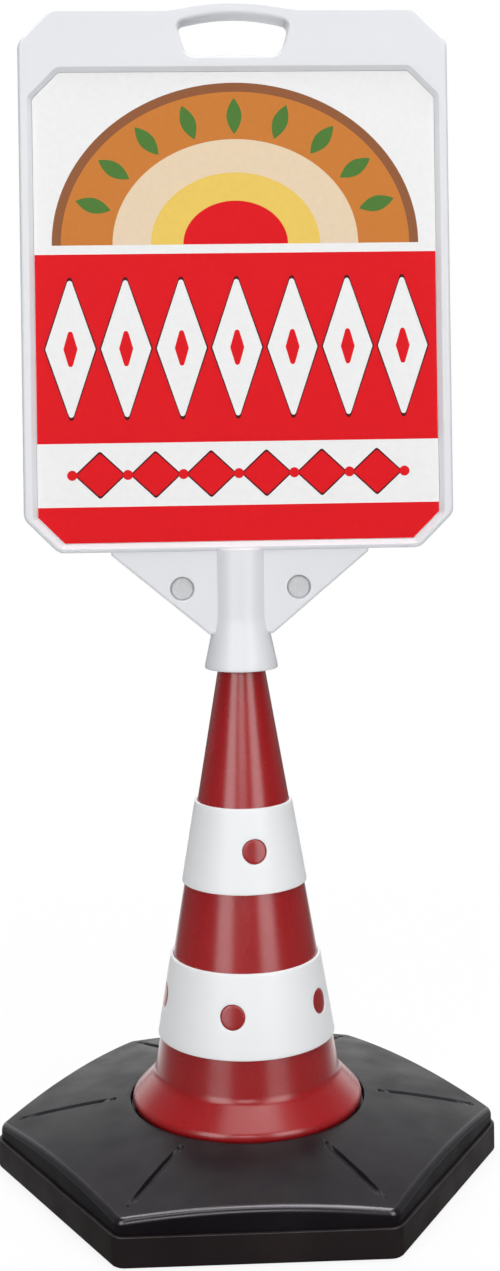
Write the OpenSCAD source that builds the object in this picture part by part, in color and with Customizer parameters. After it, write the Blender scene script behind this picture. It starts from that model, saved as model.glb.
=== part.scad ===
// Cone sign: a weighted hexagonal base, a hollow cone with two snap-on sleeves,
// and a two-faced sign head that turns on the cone's neck.
// Millimetres, +Z up. The origin is on the floor, in the middle of the base.
// The sign's front looks along -Y, and two of the base's corners lie on the X axis.

/* [Base] */
// Width of the base across two opposite sides
base_flats = 433; // [410:1:460]
// Radius of the base's upright corners
base_corner_r = 15; // [13:1:36]
// Height of the tray's rim
tray_height = 28; // [24:1:31]
// Wall thickness of the tray and the cover
base_wall = 5; // [4.5:0.5:6]
// Step from the tray's rim back to the cover's wall
cover_step = 3; // [1.5:0.5:4.5]
// Height of the cover's corners above the tray's rim
corner_rise = 13.4; // [11:0.2:18]
// Fall of the dome from its middle to the middle of a side
dome_fall = 22.8; // [16:0.2:26]
// Rounding of the cover's upper lip
lip_r = 7; // [4:0.5:9]
// Distance from the cone's recess out to the inner end of a groove
groove_gap = 28; // [22:1:40]
// Distance from the outer end of a groove to the base's corner
groove_inset = 34; // [28:1:45]
// Width of a groove
groove_w = 7; // [4:0.5:10]
// Depth of a groove at its ends
groove_depth = 2.2; // [1:0.1:2.6]
// Distance from an end of a groove to the middle of the round dimple beyond it
dimple_gap = 10.5; // [8:0.5:12]
// Radius of a dimple
dimple_r = 3.2; // [2:0.2:4]
// Depth of a dimple
dimple_depth = 1.6; // [0.8:0.2:2.4]
// Height left free above the sand at the base's corners
sand_gap = 3.4; // [3:0.2:20]

/* [Cone seat] */
// Gap between the cone's foot and the wall of the round recess that it drops into
seat_gap = 2.5; // [1.5:0.5:10]
// Depth of the recess below the dome
seat_depth = 7; // [5:0.5:9]
// Distance from the cone's lower side in to the hub that centres it
hub_inset = 14.5; // [12.5:0.5:22]
// Height of the hub above its floor
hub_height = 24; // [14:1:26]

/* [Fill plug] */
// Distance of the fill plug outwards from halfway between the recess and the side
plug_shift = -3; // [-6:0.5:4]
// Radius of the fill hole
plug_bore_r = 15; // [10:0.5:17]
// Radius of the plug's flange
plug_flange_r = 20; // [18.5:0.5:21]

/* [Cone] */
// How far the flared foot stands out beyond the cone's side
foot_flare = 21.5; // [15:0.5:23]
// Rounding of the foot's outer edge
foot_edge_r = 8; // [3:0.5:9]
// Radius of the cone where its side meets the flare
cone_base_r = 92.5; // [88:0.5:96]
// Radius of the cone at its shoulder
cone_top_r = 21.6; // [21.4:0.2:24]
// Height of the shoulder above the floor
shoulder_height = 500; // [470:1:505]
// Wall thickness of the cone
cone_wall = 3; // [2.2:0.1:4]
// Radius of the neck above the shoulder
neck_r = 16; // [14:0.1:16.4]
// Height of the neck above the shoulder
neck_height = 78; // [60:1:80]

/* [Sleeves] */
// Height of the lower sleeve's bottom edge above the floor
lower_sleeve_z = 129; // [110:1:150]
// Height of the lower sleeve
lower_sleeve_h = 78; // [50:1:90]
// Height of the upper sleeve's bottom edge above the floor
upper_sleeve_z = 279; // [250:1:300]
// Height of the upper sleeve
upper_sleeve_h = 80; // [50:1:90]
// Thickness of the sleeves
sleeve_wall = 2.4; // [1.6:0.1:3]
// Radius of the holes that show the cone's snap buttons
button_hole_r = 12; // [7:0.5:14]
// Number of snap buttons under the lower sleeve
lower_buttons = 5; // [3:1:7]
// Number of snap buttons under the upper sleeve
upper_buttons = 3; // [2:1:5]

/* [Sign head] */
// Width of the sign plate
sign_w = 426; // [360:1:460]
// Height of the plate's bottom edge above the top of the swivel bush
plate_rise = 18; // [14:1:50]
// Height of the plate without its raised handle
sign_h = 538; // [460:1:600]
// Thickness of the whole sign plate
sign_depth = 36; // [32:1:44]
// Length cut off each corner of the plate, along both sides
corner_cut = 34; // [20:1:50]
// Rounding where a corner cut meets a side
corner_r = 14; // [6:1:16]
// Rounding of the plate's outer edge
plate_edge_r = 4; // [2:0.5:5]
// Width of the border beside and below the print
border_w = 13.5; // [11:0.5:20]
// Height of the band between the hand hole and the print
hole_margin = 15.5; // [14:0.5:28]
// Depth of the print's recess below the border
recess_depth = 7; // [3:0.5:8]
// Width of the bevel round the recess
bevel_w = 4.5; // [2:0.5:6]
// Thickness of a print board
print_t = 2; // [1:0.5:2.5]

/* [Handle] */
// Width of the hand hole at its widest
hole_w = 113; // [95:1:120]
// Height of the hand hole at its middle
hole_h = 40; // [30:1:42]
// Thickness of the grip above the hand hole
grip_t = 13; // [11:1:24]
// Rise of the grip above the plate's top edge
grip_rise = 5.5; // [2:0.5:9]
// Rounding of the hand hole's edge
hole_edge_r = 3.5; // [1.5:0.5:5]

/* [Gusset and socket] */
// Half the gusset's width at the plate
gusset_half_w = 129; // [105:1:150]
// Thickness of the whole gusset
gusset_depth = 28; // [24:1:32]
// Wall of the socket tube outside its key slots
tube_wall = 4.4; // [3:0.2:7]
// How far the mouth flares out beyond the tube
mouth_flare = 9.5; // [6:0.5:12]
// Length of the flare at the mouth
mouth_h = 31; // [20:1:36]
// How far the top of the flare stands out beyond the tube
flare_step = 3.4; // [1:0.2:5]
// Height above the flare over which the tube widens down to it
flare_blend = 18; // [8:1:30]
// Distance that the mouth reaches below the cone's shoulder
mouth_drop = 10; // [4:1:14]
// Distance of a clamp bolt from the axis
bolt_x = 58; // [52:1:66]
// Radius of the round recess over a clamp bolt
bolt_recess_r = 12; // [10:0.5:14]

/* [Fits] */
// Radial clearance between the turning bush and the neck
bush_clearance = 0.05; // [0.02:0.01:0.1]
// Gap between pieces that slide off each other
slide_gap = 0.3; // [0.2:0.05:0.5]
// Gap between a sleeve and the cone
sleeve_gap = 0.4; // [0.3:0.05:0.6]
// Gap between pieces that stay together
rest_gap = 0.1; // [0.05:0.05:0.2]

/* [Hidden] */
$fn = 96;
eps = 0.01;
arc_steps = 5;
sides = 6;

// Length of a cut that goes right through
through = 2000;
// How far a cut starts before the face that it cuts
over = 1;

// Base: the tray and the cover share one hexagon, seen as its half width
base_apothem = base_flats / 2;
base_reach = hex_reach(base_apothem, base_corner_r);
cover_apothem = base_apothem - cover_step;
cover_corner_r = base_corner_r - cover_step;
cover_reach = hex_reach(cover_apothem, cover_corner_r);
dome_height = tray_height + corner_rise + dome_fall * pow(cover_reach / cover_apothem, 2);
skirt_apothem = base_apothem - base_wall - slide_gap;
skirt_corner_r = base_corner_r - base_wall - slide_gap;
skirt_depth = 10;
hex_corner_steps = 6;
hex_side_steps = 6;
crown_r = 60;
lip_min_rise = 1;
inner_lip_r = max(2, lip_r - base_wall);
groove_tip_flat = 0.05;
tray_floor = 4;
tray_edge_r = 4;
tray_rim_r = 1;
sand_side_gap = 0.5;
sand_height = tray_height + corner_rise - base_wall - sand_gap - tray_floor - rest_gap;
screw_inset = 41;
screw_ring_r = base_reach - screw_inset;
screw_clear = 0.6;
screw_r = 2.2;
screw_head_r = 5.5;
screw_head_h = 3;
screw_recess = 7;
screw_l = 25;
screw_socket_r = 2.6;
screw_socket_depth = 1.6;
tray_boss_r = 9;
tray_boss_top = 12;
cover_boss_r = 7;
cover_boss_sink = 1;

// Seat of the cone, and the grooves that start outside it
foot_r = cone_base_r + foot_flare;
seat_r = foot_r + seat_gap;
seat_height = dome_z(seat_r) - seat_depth;
seat_floor = 4;
hub_r = cone_base_r - hub_inset;
hub_wall = 3;
groove_start = seat_r + groove_gap;
groove_end = base_reach - groove_inset;

// Fill plug, on a pad that is let into the dome
plug_back = (seat_r + cover_apothem) / 2 + plug_shift;
plug_pad_wall = 3;
plug_pad_r = plug_flange_r + plug_pad_wall;
plug_pad_gap = 1.5;
plug_pad_sink = 0.5;
plug_pad_z = dome_z(plug_back + plug_pad_r) - plug_pad_sink;
plug_neck_l = 12;
plug_flange_t = 4;
plug_flange_taper = 1.2;
plug_spigot_l = 14;
plug_spigot_wall = 2.7;
plug_bar_inset = 7;
plug_bar_w = 6;

// Cone: a straight side that meets the flare above the foot's edge
flare_angle = 45;
flare_fillet_r = 14;
flare_rise = 28.5;
flare_z = seat_height + flare_rise;
cone_slope = (cone_base_r - cone_top_r) / (shoulder_height - flare_z);
cone_lean = atan(cone_slope);
collar_wall = 3.2;
collar_r = hub_r + slide_gap;
collar_lift = 1;
collar_lead = 1.5;
collar_lead_h = 2;
web_t = 3;
web_drop = 1;
under_drop = 1;
foot_edge_steps = 8;
flare_steps = 6;
button_height = sleeve_wall + sleeve_gap;
button_gap = 0.2;
button_r = button_hole_r - button_gap;
sleeve_edge = 0.7;
front_angle = 270;
lower_button_angle = front_angle - 11.5;
upper_button_angle = front_angle + 8.8;

// Neck, bush and what holds the bush down
neck_top = shoulder_height + neck_height;
neck_wall = 3;
neck_edge = 1;
neck_blend = 8;
neck_cap_t = 12;
neck_screw_r = 3;
neck_screw_head_r = 6;
neck_screw_top_r = 4.5;
neck_screw_head_h = 4;
neck_screw_socket = 2.5;
neck_screw_tip_gap = 1;
washer_t = 2;
washer_lap = 1;
washer_r = neck_r + washer_lap;
bush_wall = 4.5;
bush_r = neck_r + bush_wall;
bush_end_gap = 0.2;
bush_foot_r = min(cone_top_r, bush_r + slide_gap) - bush_end_gap;
bush_rise = 12;
bush_top = neck_top + bush_rise;
bush_well_gap = 0.4;
bush_well_r = washer_r + bush_well_gap;
key_w = 4;
key_out = 1.8;
key_root = 1;
key_drop = 6;
bush_foot_h = 3;
bush_edge = 1;

// Sign head: the outline of the plate, its print and its hand hole
sign_half_w = sign_w / 2;
sign_bottom = bush_top + plate_rise;
sign_top = sign_bottom + sign_h;
top_band = grip_t - grip_rise + hole_h + hole_margin;
half_depth = sign_depth / 2;
shell_wall = 3;
print_half_w = sign_half_w - border_w;
print_bottom = sign_bottom + border_w - bevel_w;
print_top = sign_top - top_band;
print_cut = corner_cut - border_w * (2 - sqrt(2));
panel_depth = half_depth - recess_depth;
cavity_depth = panel_depth - shell_wall;
grip_shoulder = 6;
grip_half_w = hole_w / 2 + grip_shoulder;
hole_top = sign_top + grip_rise - grip_t;
hole_bottom = hole_top - hole_h;
hole_drop = 6.5;
hole_taper = 9;
grip_side_wall = 5;
gusset_half = gusset_depth / 2;
gusset_edge_r = 3;
gusset_low_gap = 4;
gusset_tip_drop = 2;
gusset_lap = 9;
gusset_lap_inset = 6;
gusset_cavity_inset = 22;
gusset_cavity_drop = 5;
gusset_cavity_rise = 14;
mouth_z = shoulder_height - mouth_drop;
tube_foot_z = mouth_z + mouth_h;
socket_r = bush_r + slide_gap;
socket_top = bush_top + bush_end_gap;
tube_r = socket_r + key_out + tube_wall;
tube_lap = 3;
tube_lap_edge = 2;
mouth_r = tube_r + mouth_flare;
mouth_edge = 1;
mouth_lip = 0.3;
mouth_lip_h = 4;
mouth_wall = 3;
mouth_draft = 0.4;
socket_lead_gap = 2;
socket_well_gap = 0.4;
socket_well_h = 8;
gusset_foot_out = 5;
gusset_low_half_w = tube_r + gusset_foot_out;
bolt_lift = 6;
bolt_z = (sign_bottom + tube_foot_z) / 2 + bolt_lift;
bolt_recess = 7;
bolt_boss_wall = 3;
bolt_boss_r = bolt_recess_r + bolt_boss_wall;
bolt_r = 4;
bolt_head_gap = 0.8;
bolt_head_r = bolt_recess_r - bolt_head_gap;
bolt_head_h = 3.4;
bolt_head_edge = 1.2;
bolt_neck_l = 4;
bolt_neck_out = 0.3;
bolt_neck_w = 2 * (bolt_r + bolt_neck_out);
nut_r = 7.5;
nut_h = 5;
bolt_tip = 0.5;
peg_r = 3;
peg_boss_r = 6;
peg_l = 8;
peg_root = 5;
peg_side_inset = 25.5;
peg_x = sign_half_w - peg_side_inset;
top_peg_out = 56;
top_peg_drop = 30;
peg_inset = 54;
peg_places = [
    [peg_x, sign_bottom + peg_inset],
    [peg_x, (sign_bottom + print_top) / 2],
    [peg_x, print_top - peg_inset],
    [grip_half_w + top_peg_out, sign_top - top_peg_drop]
];

// Height of the dome at a distance from the axis
function dome_z(r) = dome_height - dome_fall * pow(r / cover_apothem, 2);

// Distance from the axis to the tip of a hexagon's round corner
function hex_reach(apothem, corner) = (apothem - corner) / cos(180 / sides) + corner;

// Radius of the cone's straight side at a height
function cone_r(z) = cone_top_r + (shoulder_height - z) * cone_slope;

function unit(v) = v / norm(v);
function left_of(v) = [-v[1], v[0]];
function spun(v, angle) = [
    v[0] * cos(angle) - v[1] * sin(angle),
    v[0] * sin(angle) + v[1] * cos(angle)
];
function turn_between(a, b) = atan2(a[0] * b[1] - a[1] * b[0], a * b);
function turn_at(points, i) = let (n = len(points))
    turn_between(points[i] - points[(i + n - 1) % n], points[(i + 1) % n] - points[i]);
function mirrored(points) = [for (i = [len(points) - 1:-1:0]) [-points[i][0], points[i][1]]];

// Arc of points that rounds one corner of an outline
function corner_arc(before, corner, after, radius, steps) =
    let (
        arrive = unit(corner - before),
        leave = unit(after - corner),
        turn = turn_between(arrive, leave),
        start = corner - radius * tan(abs(turn) / 2) * arrive,
        centre = start + sign(turn) * radius * left_of(arrive)
    )
    [for (k = [0:steps]) centre + spun(start - centre, turn * k / steps)];

// Corner of an outline moved inwards by the same distance from both of its sides
function inset_corner(before, corner, after, inset) =
    let (
        n1 = left_of(unit(corner - before)),
        n2 = left_of(unit(after - corner))
    )
    corner + inset * (n1 + n2) / (1 + n1 * n2);

// Outline that runs anticlockwise, moved inwards and with its corners rounded
function rounded(points, radii, inset = 0, steps = arc_steps) =
    let (
        n = len(points),
        moved = [for (i = [0:n - 1])
            inset_corner(points[(i + n - 1) % n], points[i], points[(i + 1) % n], inset)]
    )
    [for (i = [0:n - 1]) each corner_arc(
        moved[(i + n - 1) % n], moved[i], moved[(i + 1) % n],
        max(0.3, turn_at(points, i) > 0 ? radii[i] - inset : radii[i] + inset), steps)];

// Hexagon with round corners and evenly divided sides; its first point lies in the middle of a corner,
// so that a flat end drawn from that point has no side in line with it
function hex_loop(apothem, corner, side_steps = hex_side_steps) =
    let (
        reach = (apothem - corner) / cos(180 / sides),
        step = 360 / sides,
        points = [for (k = [0:sides - 1])
            let (
                here = reach * [cos(step * k), sin(step * k)],
                next = reach * [cos(step * (k + 1)), sin(step * (k + 1))],
                out = corner * [cos(step * (k + 0.5)), sin(step * (k + 0.5))]
            )
            each concat(
                [for (j = [0:hex_corner_steps]) let (a = step * (k - 0.5 + j / hex_corner_steps))
                    here + corner * [cos(a), sin(a)]],
                [for (j = [1:1:side_steps - 1]) out + here + (next - here) * j / side_steps]
            )],
        first = floor(hex_corner_steps / 2)
    )
    [for (i = [0:len(points) - 1]) points[(i + first) % len(points)]];

function at_height(points, z) = [for (p = points) [p[0], p[1], z]];

// Loops of the domed cover, from its lip up to a flat crown; wall is the distance inside its skin
function lip_loop(wall, round_r, angle) =
    let (
        a = cover_apothem - wall - round_r,
        c = cover_corner_r - wall - round_r,
        edge = hex_loop(a, c),
        out = hex_loop(a + round_r * cos(angle), c + round_r * cos(angle))
    )
    [for (i = [0:len(edge) - 1]) [
        out[i][0], out[i][1],
        max(tray_height + lip_min_rise, dome_z(norm(edge[i])) - wall - round_r) + round_r * sin(angle)]];

function dome_loop(wall, round_r, part) =
    let (edge = hex_loop(cover_apothem - wall - round_r, cover_corner_r - wall - round_r))
    [for (p = edge) let (q = p * (1 - part) + crown_r * unit(p) * part)
        [q[0], q[1], dome_z(norm(q)) - wall]];

// Solid skinned over loops that have the same number of points, from the lowest to the highest
module loft(loops) {
    n = len(loops[0]);
    last = len(loops) - 1;
    sides = [for (r = [0:last - 1], i = [0:n - 1]) let (j = (i + 1) % n) each [
        [r * n + i, (r + 1) * n + i, (r + 1) * n + j],
        [r * n + i, (r + 1) * n + j, r * n + j]]];
    polyhedron(
        points = [for (loop = loops) each loop],
        faces = concat(
            [[for (i = [0:n - 1]) i]],
            sides,
            [[for (i = [n - 1:-1:0]) last * n + i]]));
}

module round_the_base(count = sides, start = 0) {
    for (k = [0:count - 1])
        rotate([0, 0, start + 360 * k / count]) children();
}

module at_screws() {
    round_the_base() translate([screw_ring_r, 0, 0]) children();
}

// Tray: the shallow lower shell, with screw bosses at its corners
module base_tray() {
    color("#1b1a1c")
    difference() {
        loft([
            for (e = concat(
                [for (a = [0:45:90]) tray_edge_r * [1 - sin(a), 1 - cos(a)]],
                [[0, tray_height - tray_rim_r], [tray_rim_r, tray_height]]))
                at_height(hex_loop(base_apothem - e[0], base_corner_r - e[0], 1), e[1])
        ]);
        difference() {
            translate([0, 0, tray_floor])
                linear_extrude(tray_height)
                    polygon(hex_loop(base_apothem - base_wall, base_corner_r - base_wall, 1));
            at_screws() cylinder(r = tray_boss_r, h = tray_boss_top);
        }
        at_screws() translate([0, 0, -over]) {
            cylinder(r = screw_head_r + screw_clear, h = screw_recess + over);
            cylinder(r = screw_r + screw_clear, h = tray_boss_top + 2 * over);
        }
    }
}

// Outer form of the cover with its skirt, before anything is cut out of it
module cover_skin() {
    loft(concat(
        [for (z = [tray_height - skirt_depth, tray_height])
            at_height(hex_loop(skirt_apothem, skirt_corner_r), z)],
        [at_height(hex_loop(cover_apothem, cover_corner_r), tray_height + eps)],
        [for (a = [0, 25, 50, 72]) lip_loop(0, lip_r, a)],
        [for (part = [0, 0.25, 0.5, 0.75, 1]) dome_loop(0, lip_r, part)]
    ));
}

// Space inside the cover
module cover_hollow() {
    loft(concat(
        [at_height(hex_loop(cover_apothem - base_wall, cover_corner_r - base_wall),
            tray_height - skirt_depth - 1)],
        [for (a = [0, 45]) lip_loop(base_wall, inner_lip_r, a)],
        [for (part = [0, 0.5, 1]) dome_loop(base_wall, inner_lip_r, part)]
    ));
}

// One groove, from its inner end outwards, along the dome's chord
module groove() {
    fall = atan((dome_z(groove_start) - dome_z(groove_end)) / (groove_end - groove_start));
    length = (groove_end - groove_start) / cos(fall);
    half_w = groove_w / 2;
    translate([groove_start, 0, dome_z(groove_start) - groove_depth])
        rotate([0, fall, 0])
            linear_extrude(dome_height)
                polygon(rounded(
                    [[-half_w, -half_w], [length + half_w, -half_w],
                     [length + half_w, half_w], [-half_w, half_w]],
                    [for (i = [0:3]) half_w - groove_tip_flat]));
}

// Round dimples beyond both ends of a groove
module groove_dimples() {
    for (r = [groove_start - dimple_gap, groove_end + dimple_gap])
        translate([r, 0, dome_z(r) - dimple_depth]) cylinder(r = dimple_r, h = dome_height, $fn = 24);
}

// Boss that takes a tray screw; its top slopes with the dome and ends inside the wall
module cover_boss() {
    low = tray_boss_top + rest_gap;
    slope = atan(2 * dome_fall * screw_ring_r / pow(cover_apothem, 2));
    difference() {
        translate([0, 0, low]) cylinder(r = cover_boss_r, h = dome_z(screw_ring_r) - low);
        translate([0, 0, dome_z(screw_ring_r) - base_wall + cover_boss_sink])
            rotate([0, slope, 0])
                translate([-through / 2, -through / 2, 0]) cube(through);
    }
}

// Cover: the domed shell with its grooves, the cone's seat and hub, and the fill hole
module base_cover() {
    plug_at = [0, plug_back, 0];
    color("#3b383b")
    difference() {
        union() {
            difference() {
                union() {
                    difference() {
                        cover_skin();
                        cover_hollow();
                    }
                    translate([0, 0, seat_height - seat_floor])
                        cylinder(r = seat_r + base_wall, h = dome_z(seat_r) - seat_height);
                    translate(plug_at + [0, 0, plug_pad_z - plug_neck_l])
                        cylinder(r = plug_pad_r, h = plug_neck_l);
                }
                translate([0, 0, seat_height]) cylinder(r = seat_r, h = dome_height);
                translate(plug_at + [0, 0, plug_pad_z])
                    cylinder(r = plug_flange_r + plug_pad_gap, h = dome_height);
                round_the_base() {
                    groove();
                    groove_dimples();
                }
            }
            translate([0, 0, seat_height - over]) cylinder(r = hub_r, h = hub_height + over);
            at_screws() cover_boss();
        }
        translate([0, 0, seat_height]) cylinder(r = hub_r - hub_wall, h = hub_height + over);
        translate(plug_at) cylinder(r = plug_bore_r, h = through);
        at_screws() translate([0, 0, tray_boss_top - over])
            cylinder(r = screw_r + rest_gap, h = screw_l);
    }
}

// Sand that weighs the base down, levelled inside the tray
module sand_ballast() {
    color("#c2a878")
    difference() {
        translate([0, 0, tray_floor + rest_gap])
            linear_extrude(sand_height)
                polygon(hex_loop(cover_apothem - base_wall - sand_side_gap,
                    cover_corner_r - base_wall - sand_side_gap, 1));
        at_screws() cylinder(r = tray_boss_r + slide_gap, h = through);
    }
}

// Six screws that hold the tray to the cover from below
module tray_screws() {
    color("#9a9ca0")
    at_screws() translate([0, 0, screw_recess]) {
        difference() {
            translate([0, 0, -screw_head_h]) cylinder(r = screw_head_r, h = screw_head_h);
            translate([0, 0, -screw_head_h - over])
                cylinder(r = screw_socket_r, h = screw_socket_depth + over, $fn = 6);
        }
        translate([0, 0, -eps]) cylinder(r = screw_r, h = screw_l);
    }
}

// Push-in stopper of the fill hole, with a bar to pull it by
module fill_plug() {
    bar = [2 * (plug_flange_r - plug_bar_inset), plug_bar_w, plug_bar_w];
    color("#242325")
    translate([0, plug_back, plug_pad_z]) {
        difference() {
            union() {
                cylinder(r1 = plug_flange_r, r2 = plug_flange_r - plug_flange_taper, h = plug_flange_t);
                translate([0, 0, -plug_spigot_l])
                    cylinder(r = plug_bore_r - slide_gap, h = plug_spigot_l + over);
                translate([-bar[0] / 2, -bar[1] / 2, plug_flange_t - over]) cube(bar);
            }
            translate([0, 0, -plug_spigot_l - over])
                cylinder(r = plug_bore_r - slide_gap - plug_spigot_wall, h = plug_spigot_l);
        }
    }
}

// Half section of the cone: flared foot, straight side, shoulder and neck, hollow inside
module cone_section() {
    edge_centre = [foot_r - foot_edge_r, seat_height + foot_edge_r];
    edge_end = edge_centre + foot_edge_r * [cos(flare_angle), sin(flare_angle)];
    meet_z = (edge_end[0] + edge_end[1] - cone_top_r - shoulder_height * cone_slope)
        / (1 - cone_slope);
    meet = [cone_r(meet_z), meet_z];
    inside = cone_wall / cos(cone_lean);
    foot_inner_r = edge_centre[0] - cone_wall;
    web_z = meet_z - web_drop;
    lead_z = seat_height + collar_lift;
    neck_inner_r = neck_r - neck_wall;
    cap_z = neck_top - neck_cap_t;
    polygon(concat(
        [for (k = [0:foot_edge_steps]) let (a = -90 + (flare_angle + 90) * k / foot_edge_steps)
            edge_centre + foot_edge_r * [cos(a), sin(a)]],
        corner_arc(edge_end, meet, [cone_top_r, shoulder_height], flare_fillet_r, flare_steps),
        [
            [cone_top_r, shoulder_height],
            [neck_r, shoulder_height],
            [neck_r, neck_top - neck_edge],
            [neck_r - neck_edge, neck_top],
            [neck_screw_r, neck_top],
            [neck_screw_r, cap_z],
            [neck_inner_r, cap_z],
            [neck_inner_r, shoulder_height],
            [cone_r(shoulder_height - neck_blend) - inside, shoulder_height - neck_blend],
            [cone_r(web_z + web_t) - inside, web_z + web_t],
            [collar_r, web_z + web_t],
            [collar_r, lead_z + collar_lead_h],
            [collar_r + collar_lead, lead_z],
            [collar_r + collar_wall, lead_z],
            [collar_r + collar_wall, web_z],
            [cone_r(web_z) - 2 * cone_wall, web_z],
            [foot_inner_r, edge_centre[1] + foot_edge_r - under_drop],
            [foot_inner_r, seat_height]
        ]
    ));
}

// Places its child at a height on the cone's side, with +Z along the side's outward normal
module on_cone_side(z, depth) {
    translate([cone_r(z) - depth, 0, z]) rotate([0, 90 - cone_lean, 0]) children();
}

module snap_buttons(z, count, start) {
    reach = 2 * button_r;
    intersection() {
        round_the_base(count, start) on_cone_side(z, cone_wall - over) cylinder(r = button_r, h = reach);
        translate([0, 0, z - reach])
            cylinder(
                r1 = cone_r(z - reach) + button_height,
                r2 = cone_r(z + reach) + button_height,
                h = 2 * reach);
    }
}

// Cone: one hollow moulding, with snap buttons where the sleeves sit
module cone() {
    color("#96202a")
    union() {
        rotate_extrude() cone_section();
        snap_buttons(lower_sleeve_z + lower_sleeve_h / 2, lower_buttons, lower_button_angle);
        snap_buttons(upper_sleeve_z + upper_sleeve_h / 2, upper_buttons, upper_button_angle);
    }
}

// Sleeve: a conical band that slides down the cone until its holes snap over the buttons
module sleeve(z, h, count, start) {
    inner = sleeve_gap;
    outer = sleeve_gap + sleeve_wall;
    edge = sleeve_edge;
    difference() {
        rotate_extrude() polygon([
            [cone_r(z) + inner, z],
            [cone_r(z) + outer - edge, z],
            [cone_r(z + edge) + outer, z + edge],
            [cone_r(z + h - edge) + outer, z + h - edge],
            [cone_r(z + h) + outer - edge, z + h],
            [cone_r(z + h) + inner, z + h]
        ]);
        round_the_base(count, start) on_cone_side(z + h / 2, cone_wall)
            cylinder(r = button_hole_r, h = 2 * button_hole_r);
    }
}

module lower_sleeve() {
    color("#f2f3f5") sleeve(lower_sleeve_z, lower_sleeve_h, lower_buttons, lower_button_angle);
}

module upper_sleeve() {
    color("#f2f3f5") sleeve(upper_sleeve_z, upper_sleeve_h, upper_buttons, upper_button_angle);
}

// Washer on the neck that keeps the bush from lifting off
module neck_washer() {
    color("#b9bbbf")
    translate([0, 0, neck_top])
        difference() {
            cylinder(r = washer_r, h = washer_t);
            translate([0, 0, -over]) cylinder(r = neck_screw_r + slide_gap, h = washer_t + 2 * over);
        }
}

module neck_screw() {
    shank = neck_cap_t - neck_screw_tip_gap;
    color("#a4a6aa")
    translate([0, 0, neck_top + washer_t]) {
        difference() {
            cylinder(r1 = neck_screw_head_r, r2 = neck_screw_top_r, h = neck_screw_head_h);
            translate([0, 0, neck_screw_head_h - neck_screw_socket])
                cylinder(r = neck_screw_socket, h = neck_screw_head_h, $fn = 6);
        }
        translate([0, 0, -shank]) cylinder(r = neck_screw_r - rest_gap, h = shank + eps);
    }
}

// Bush that turns on the neck; its two keys drive the sign head
module swivel_bush() {
    foot_z = shoulder_height + bush_end_gap;
    step_z = neck_top - bush_end_gap;
    bore_r = neck_r + bush_clearance;
    color("#d9dadd")
    union() {
        rotate_extrude() polygon([
            [bore_r, foot_z],
            [bush_foot_r, foot_z],
            [bush_foot_r, foot_z + bush_foot_h],
            [bush_r, foot_z + bush_foot_h],
            [bush_r, bush_top - bush_edge],
            [bush_r - bush_edge, bush_top],
            [bush_well_r, bush_top],
            [bush_well_r, step_z],
            [bore_r, step_z]
        ]);
        for (side = [0, 180])
            rotate([0, 0, side])
                translate([bush_r - key_root, -key_w / 2, tube_foot_z])
                    cube([key_root + key_out, key_w, bush_top - key_drop - tube_foot_z]);
    }
}

// Corners of the plate, anticlockwise from its lower left; the grip rises over the hand hole
function plate_corners() =
    let (
        right = [
            [sign_half_w - corner_cut, sign_bottom],
            [sign_half_w, sign_bottom + corner_cut],
            [sign_half_w, sign_top - corner_cut],
            [sign_half_w - corner_cut, sign_top],
            [grip_half_w, sign_top]
        ]
    )
    concat(right, [[0, sign_top + 2 * grip_rise]], mirrored(right));
function plate_radii() =
    let (c = corner_r, blend = 60, crown = 240)
    [c, c, c, c, blend, crown, blend, c, c, c, c];

// Corners of the print, with its cut corners kept parallel to the plate's
function print_corners(grow = 0) =
    let (w = print_half_w + grow, cut = print_cut + grow * (2 - sqrt(2)),
        low = print_bottom - grow, high = print_top + grow,
        right = [[w - cut, low], [w, low + cut], [w, high - cut], [w - cut, high]])
    concat(right, mirrored(right));
print_radii = [for (i = [0:7]) 4];

// Corners of the hand hole: an arched top and a narrower flat bottom
function hole_corners() =
    let (w = hole_w / 2)
    [[w - hole_taper, hole_bottom], [w, hole_top - hole_drop], [0, hole_top + hole_drop],
     [-w, hole_top - hole_drop], [hole_taper - w, hole_bottom]];
hole_radii = [14, 7, 200, 7, 14];

function gusset_corners() =
    let (
        left = [
            [gusset_lap_inset - gusset_half_w, sign_bottom + gusset_lap],
            [-gusset_half_w, sign_bottom - gusset_tip_drop],
            [-gusset_low_half_w, tube_foot_z + gusset_low_gap]
        ]
    )
    concat(mirrored(left), left);
gusset_radii = [1.5, 4, 1.5, 1.5, 4, 1.5];

// Loops of a plate that ends in a rounded front edge, with the depth along Z
function edged_loops(corners, radii, depth, edge_r, steps) = [
    at_height(rounded(corners, radii, 0, steps), -over),
    for (a = [0, 30, 60, 90])
        at_height(rounded(corners, radii, edge_r * (1 - cos(a)), steps), depth - edge_r * (1 - sin(a)))
];

module bolt_places() {
    for (x = [-bolt_x, bolt_x]) translate([x, bolt_z, 0]) children();
}

// Places its child at each locating peg of one side: 1 for right, -1 for left
module peg_spots(side) {
    for (p = peg_places)
        translate([side * p[0], p[1], 0]) children();
}

// Bosses that carry the pegs or take them; those in the top band reach a deeper face
module peg_bosses(side) {
    for (p = peg_places) {
        face = p[1] > print_top ? half_depth - shell_wall : cavity_depth;
        translate([side * p[0], p[1], 0]) cylinder(r = peg_boss_r, h = face + over);
    }
}

// Plate and gusset of one half, in front view, with the depth along Z
module half_plate() {
    loft(edged_loops(plate_corners(), plate_radii(), half_depth, plate_edge_r, arc_steps));
    loft(edged_loops(gusset_corners(), gusset_radii, gusset_half, gusset_edge_r, 3));
}

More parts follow.
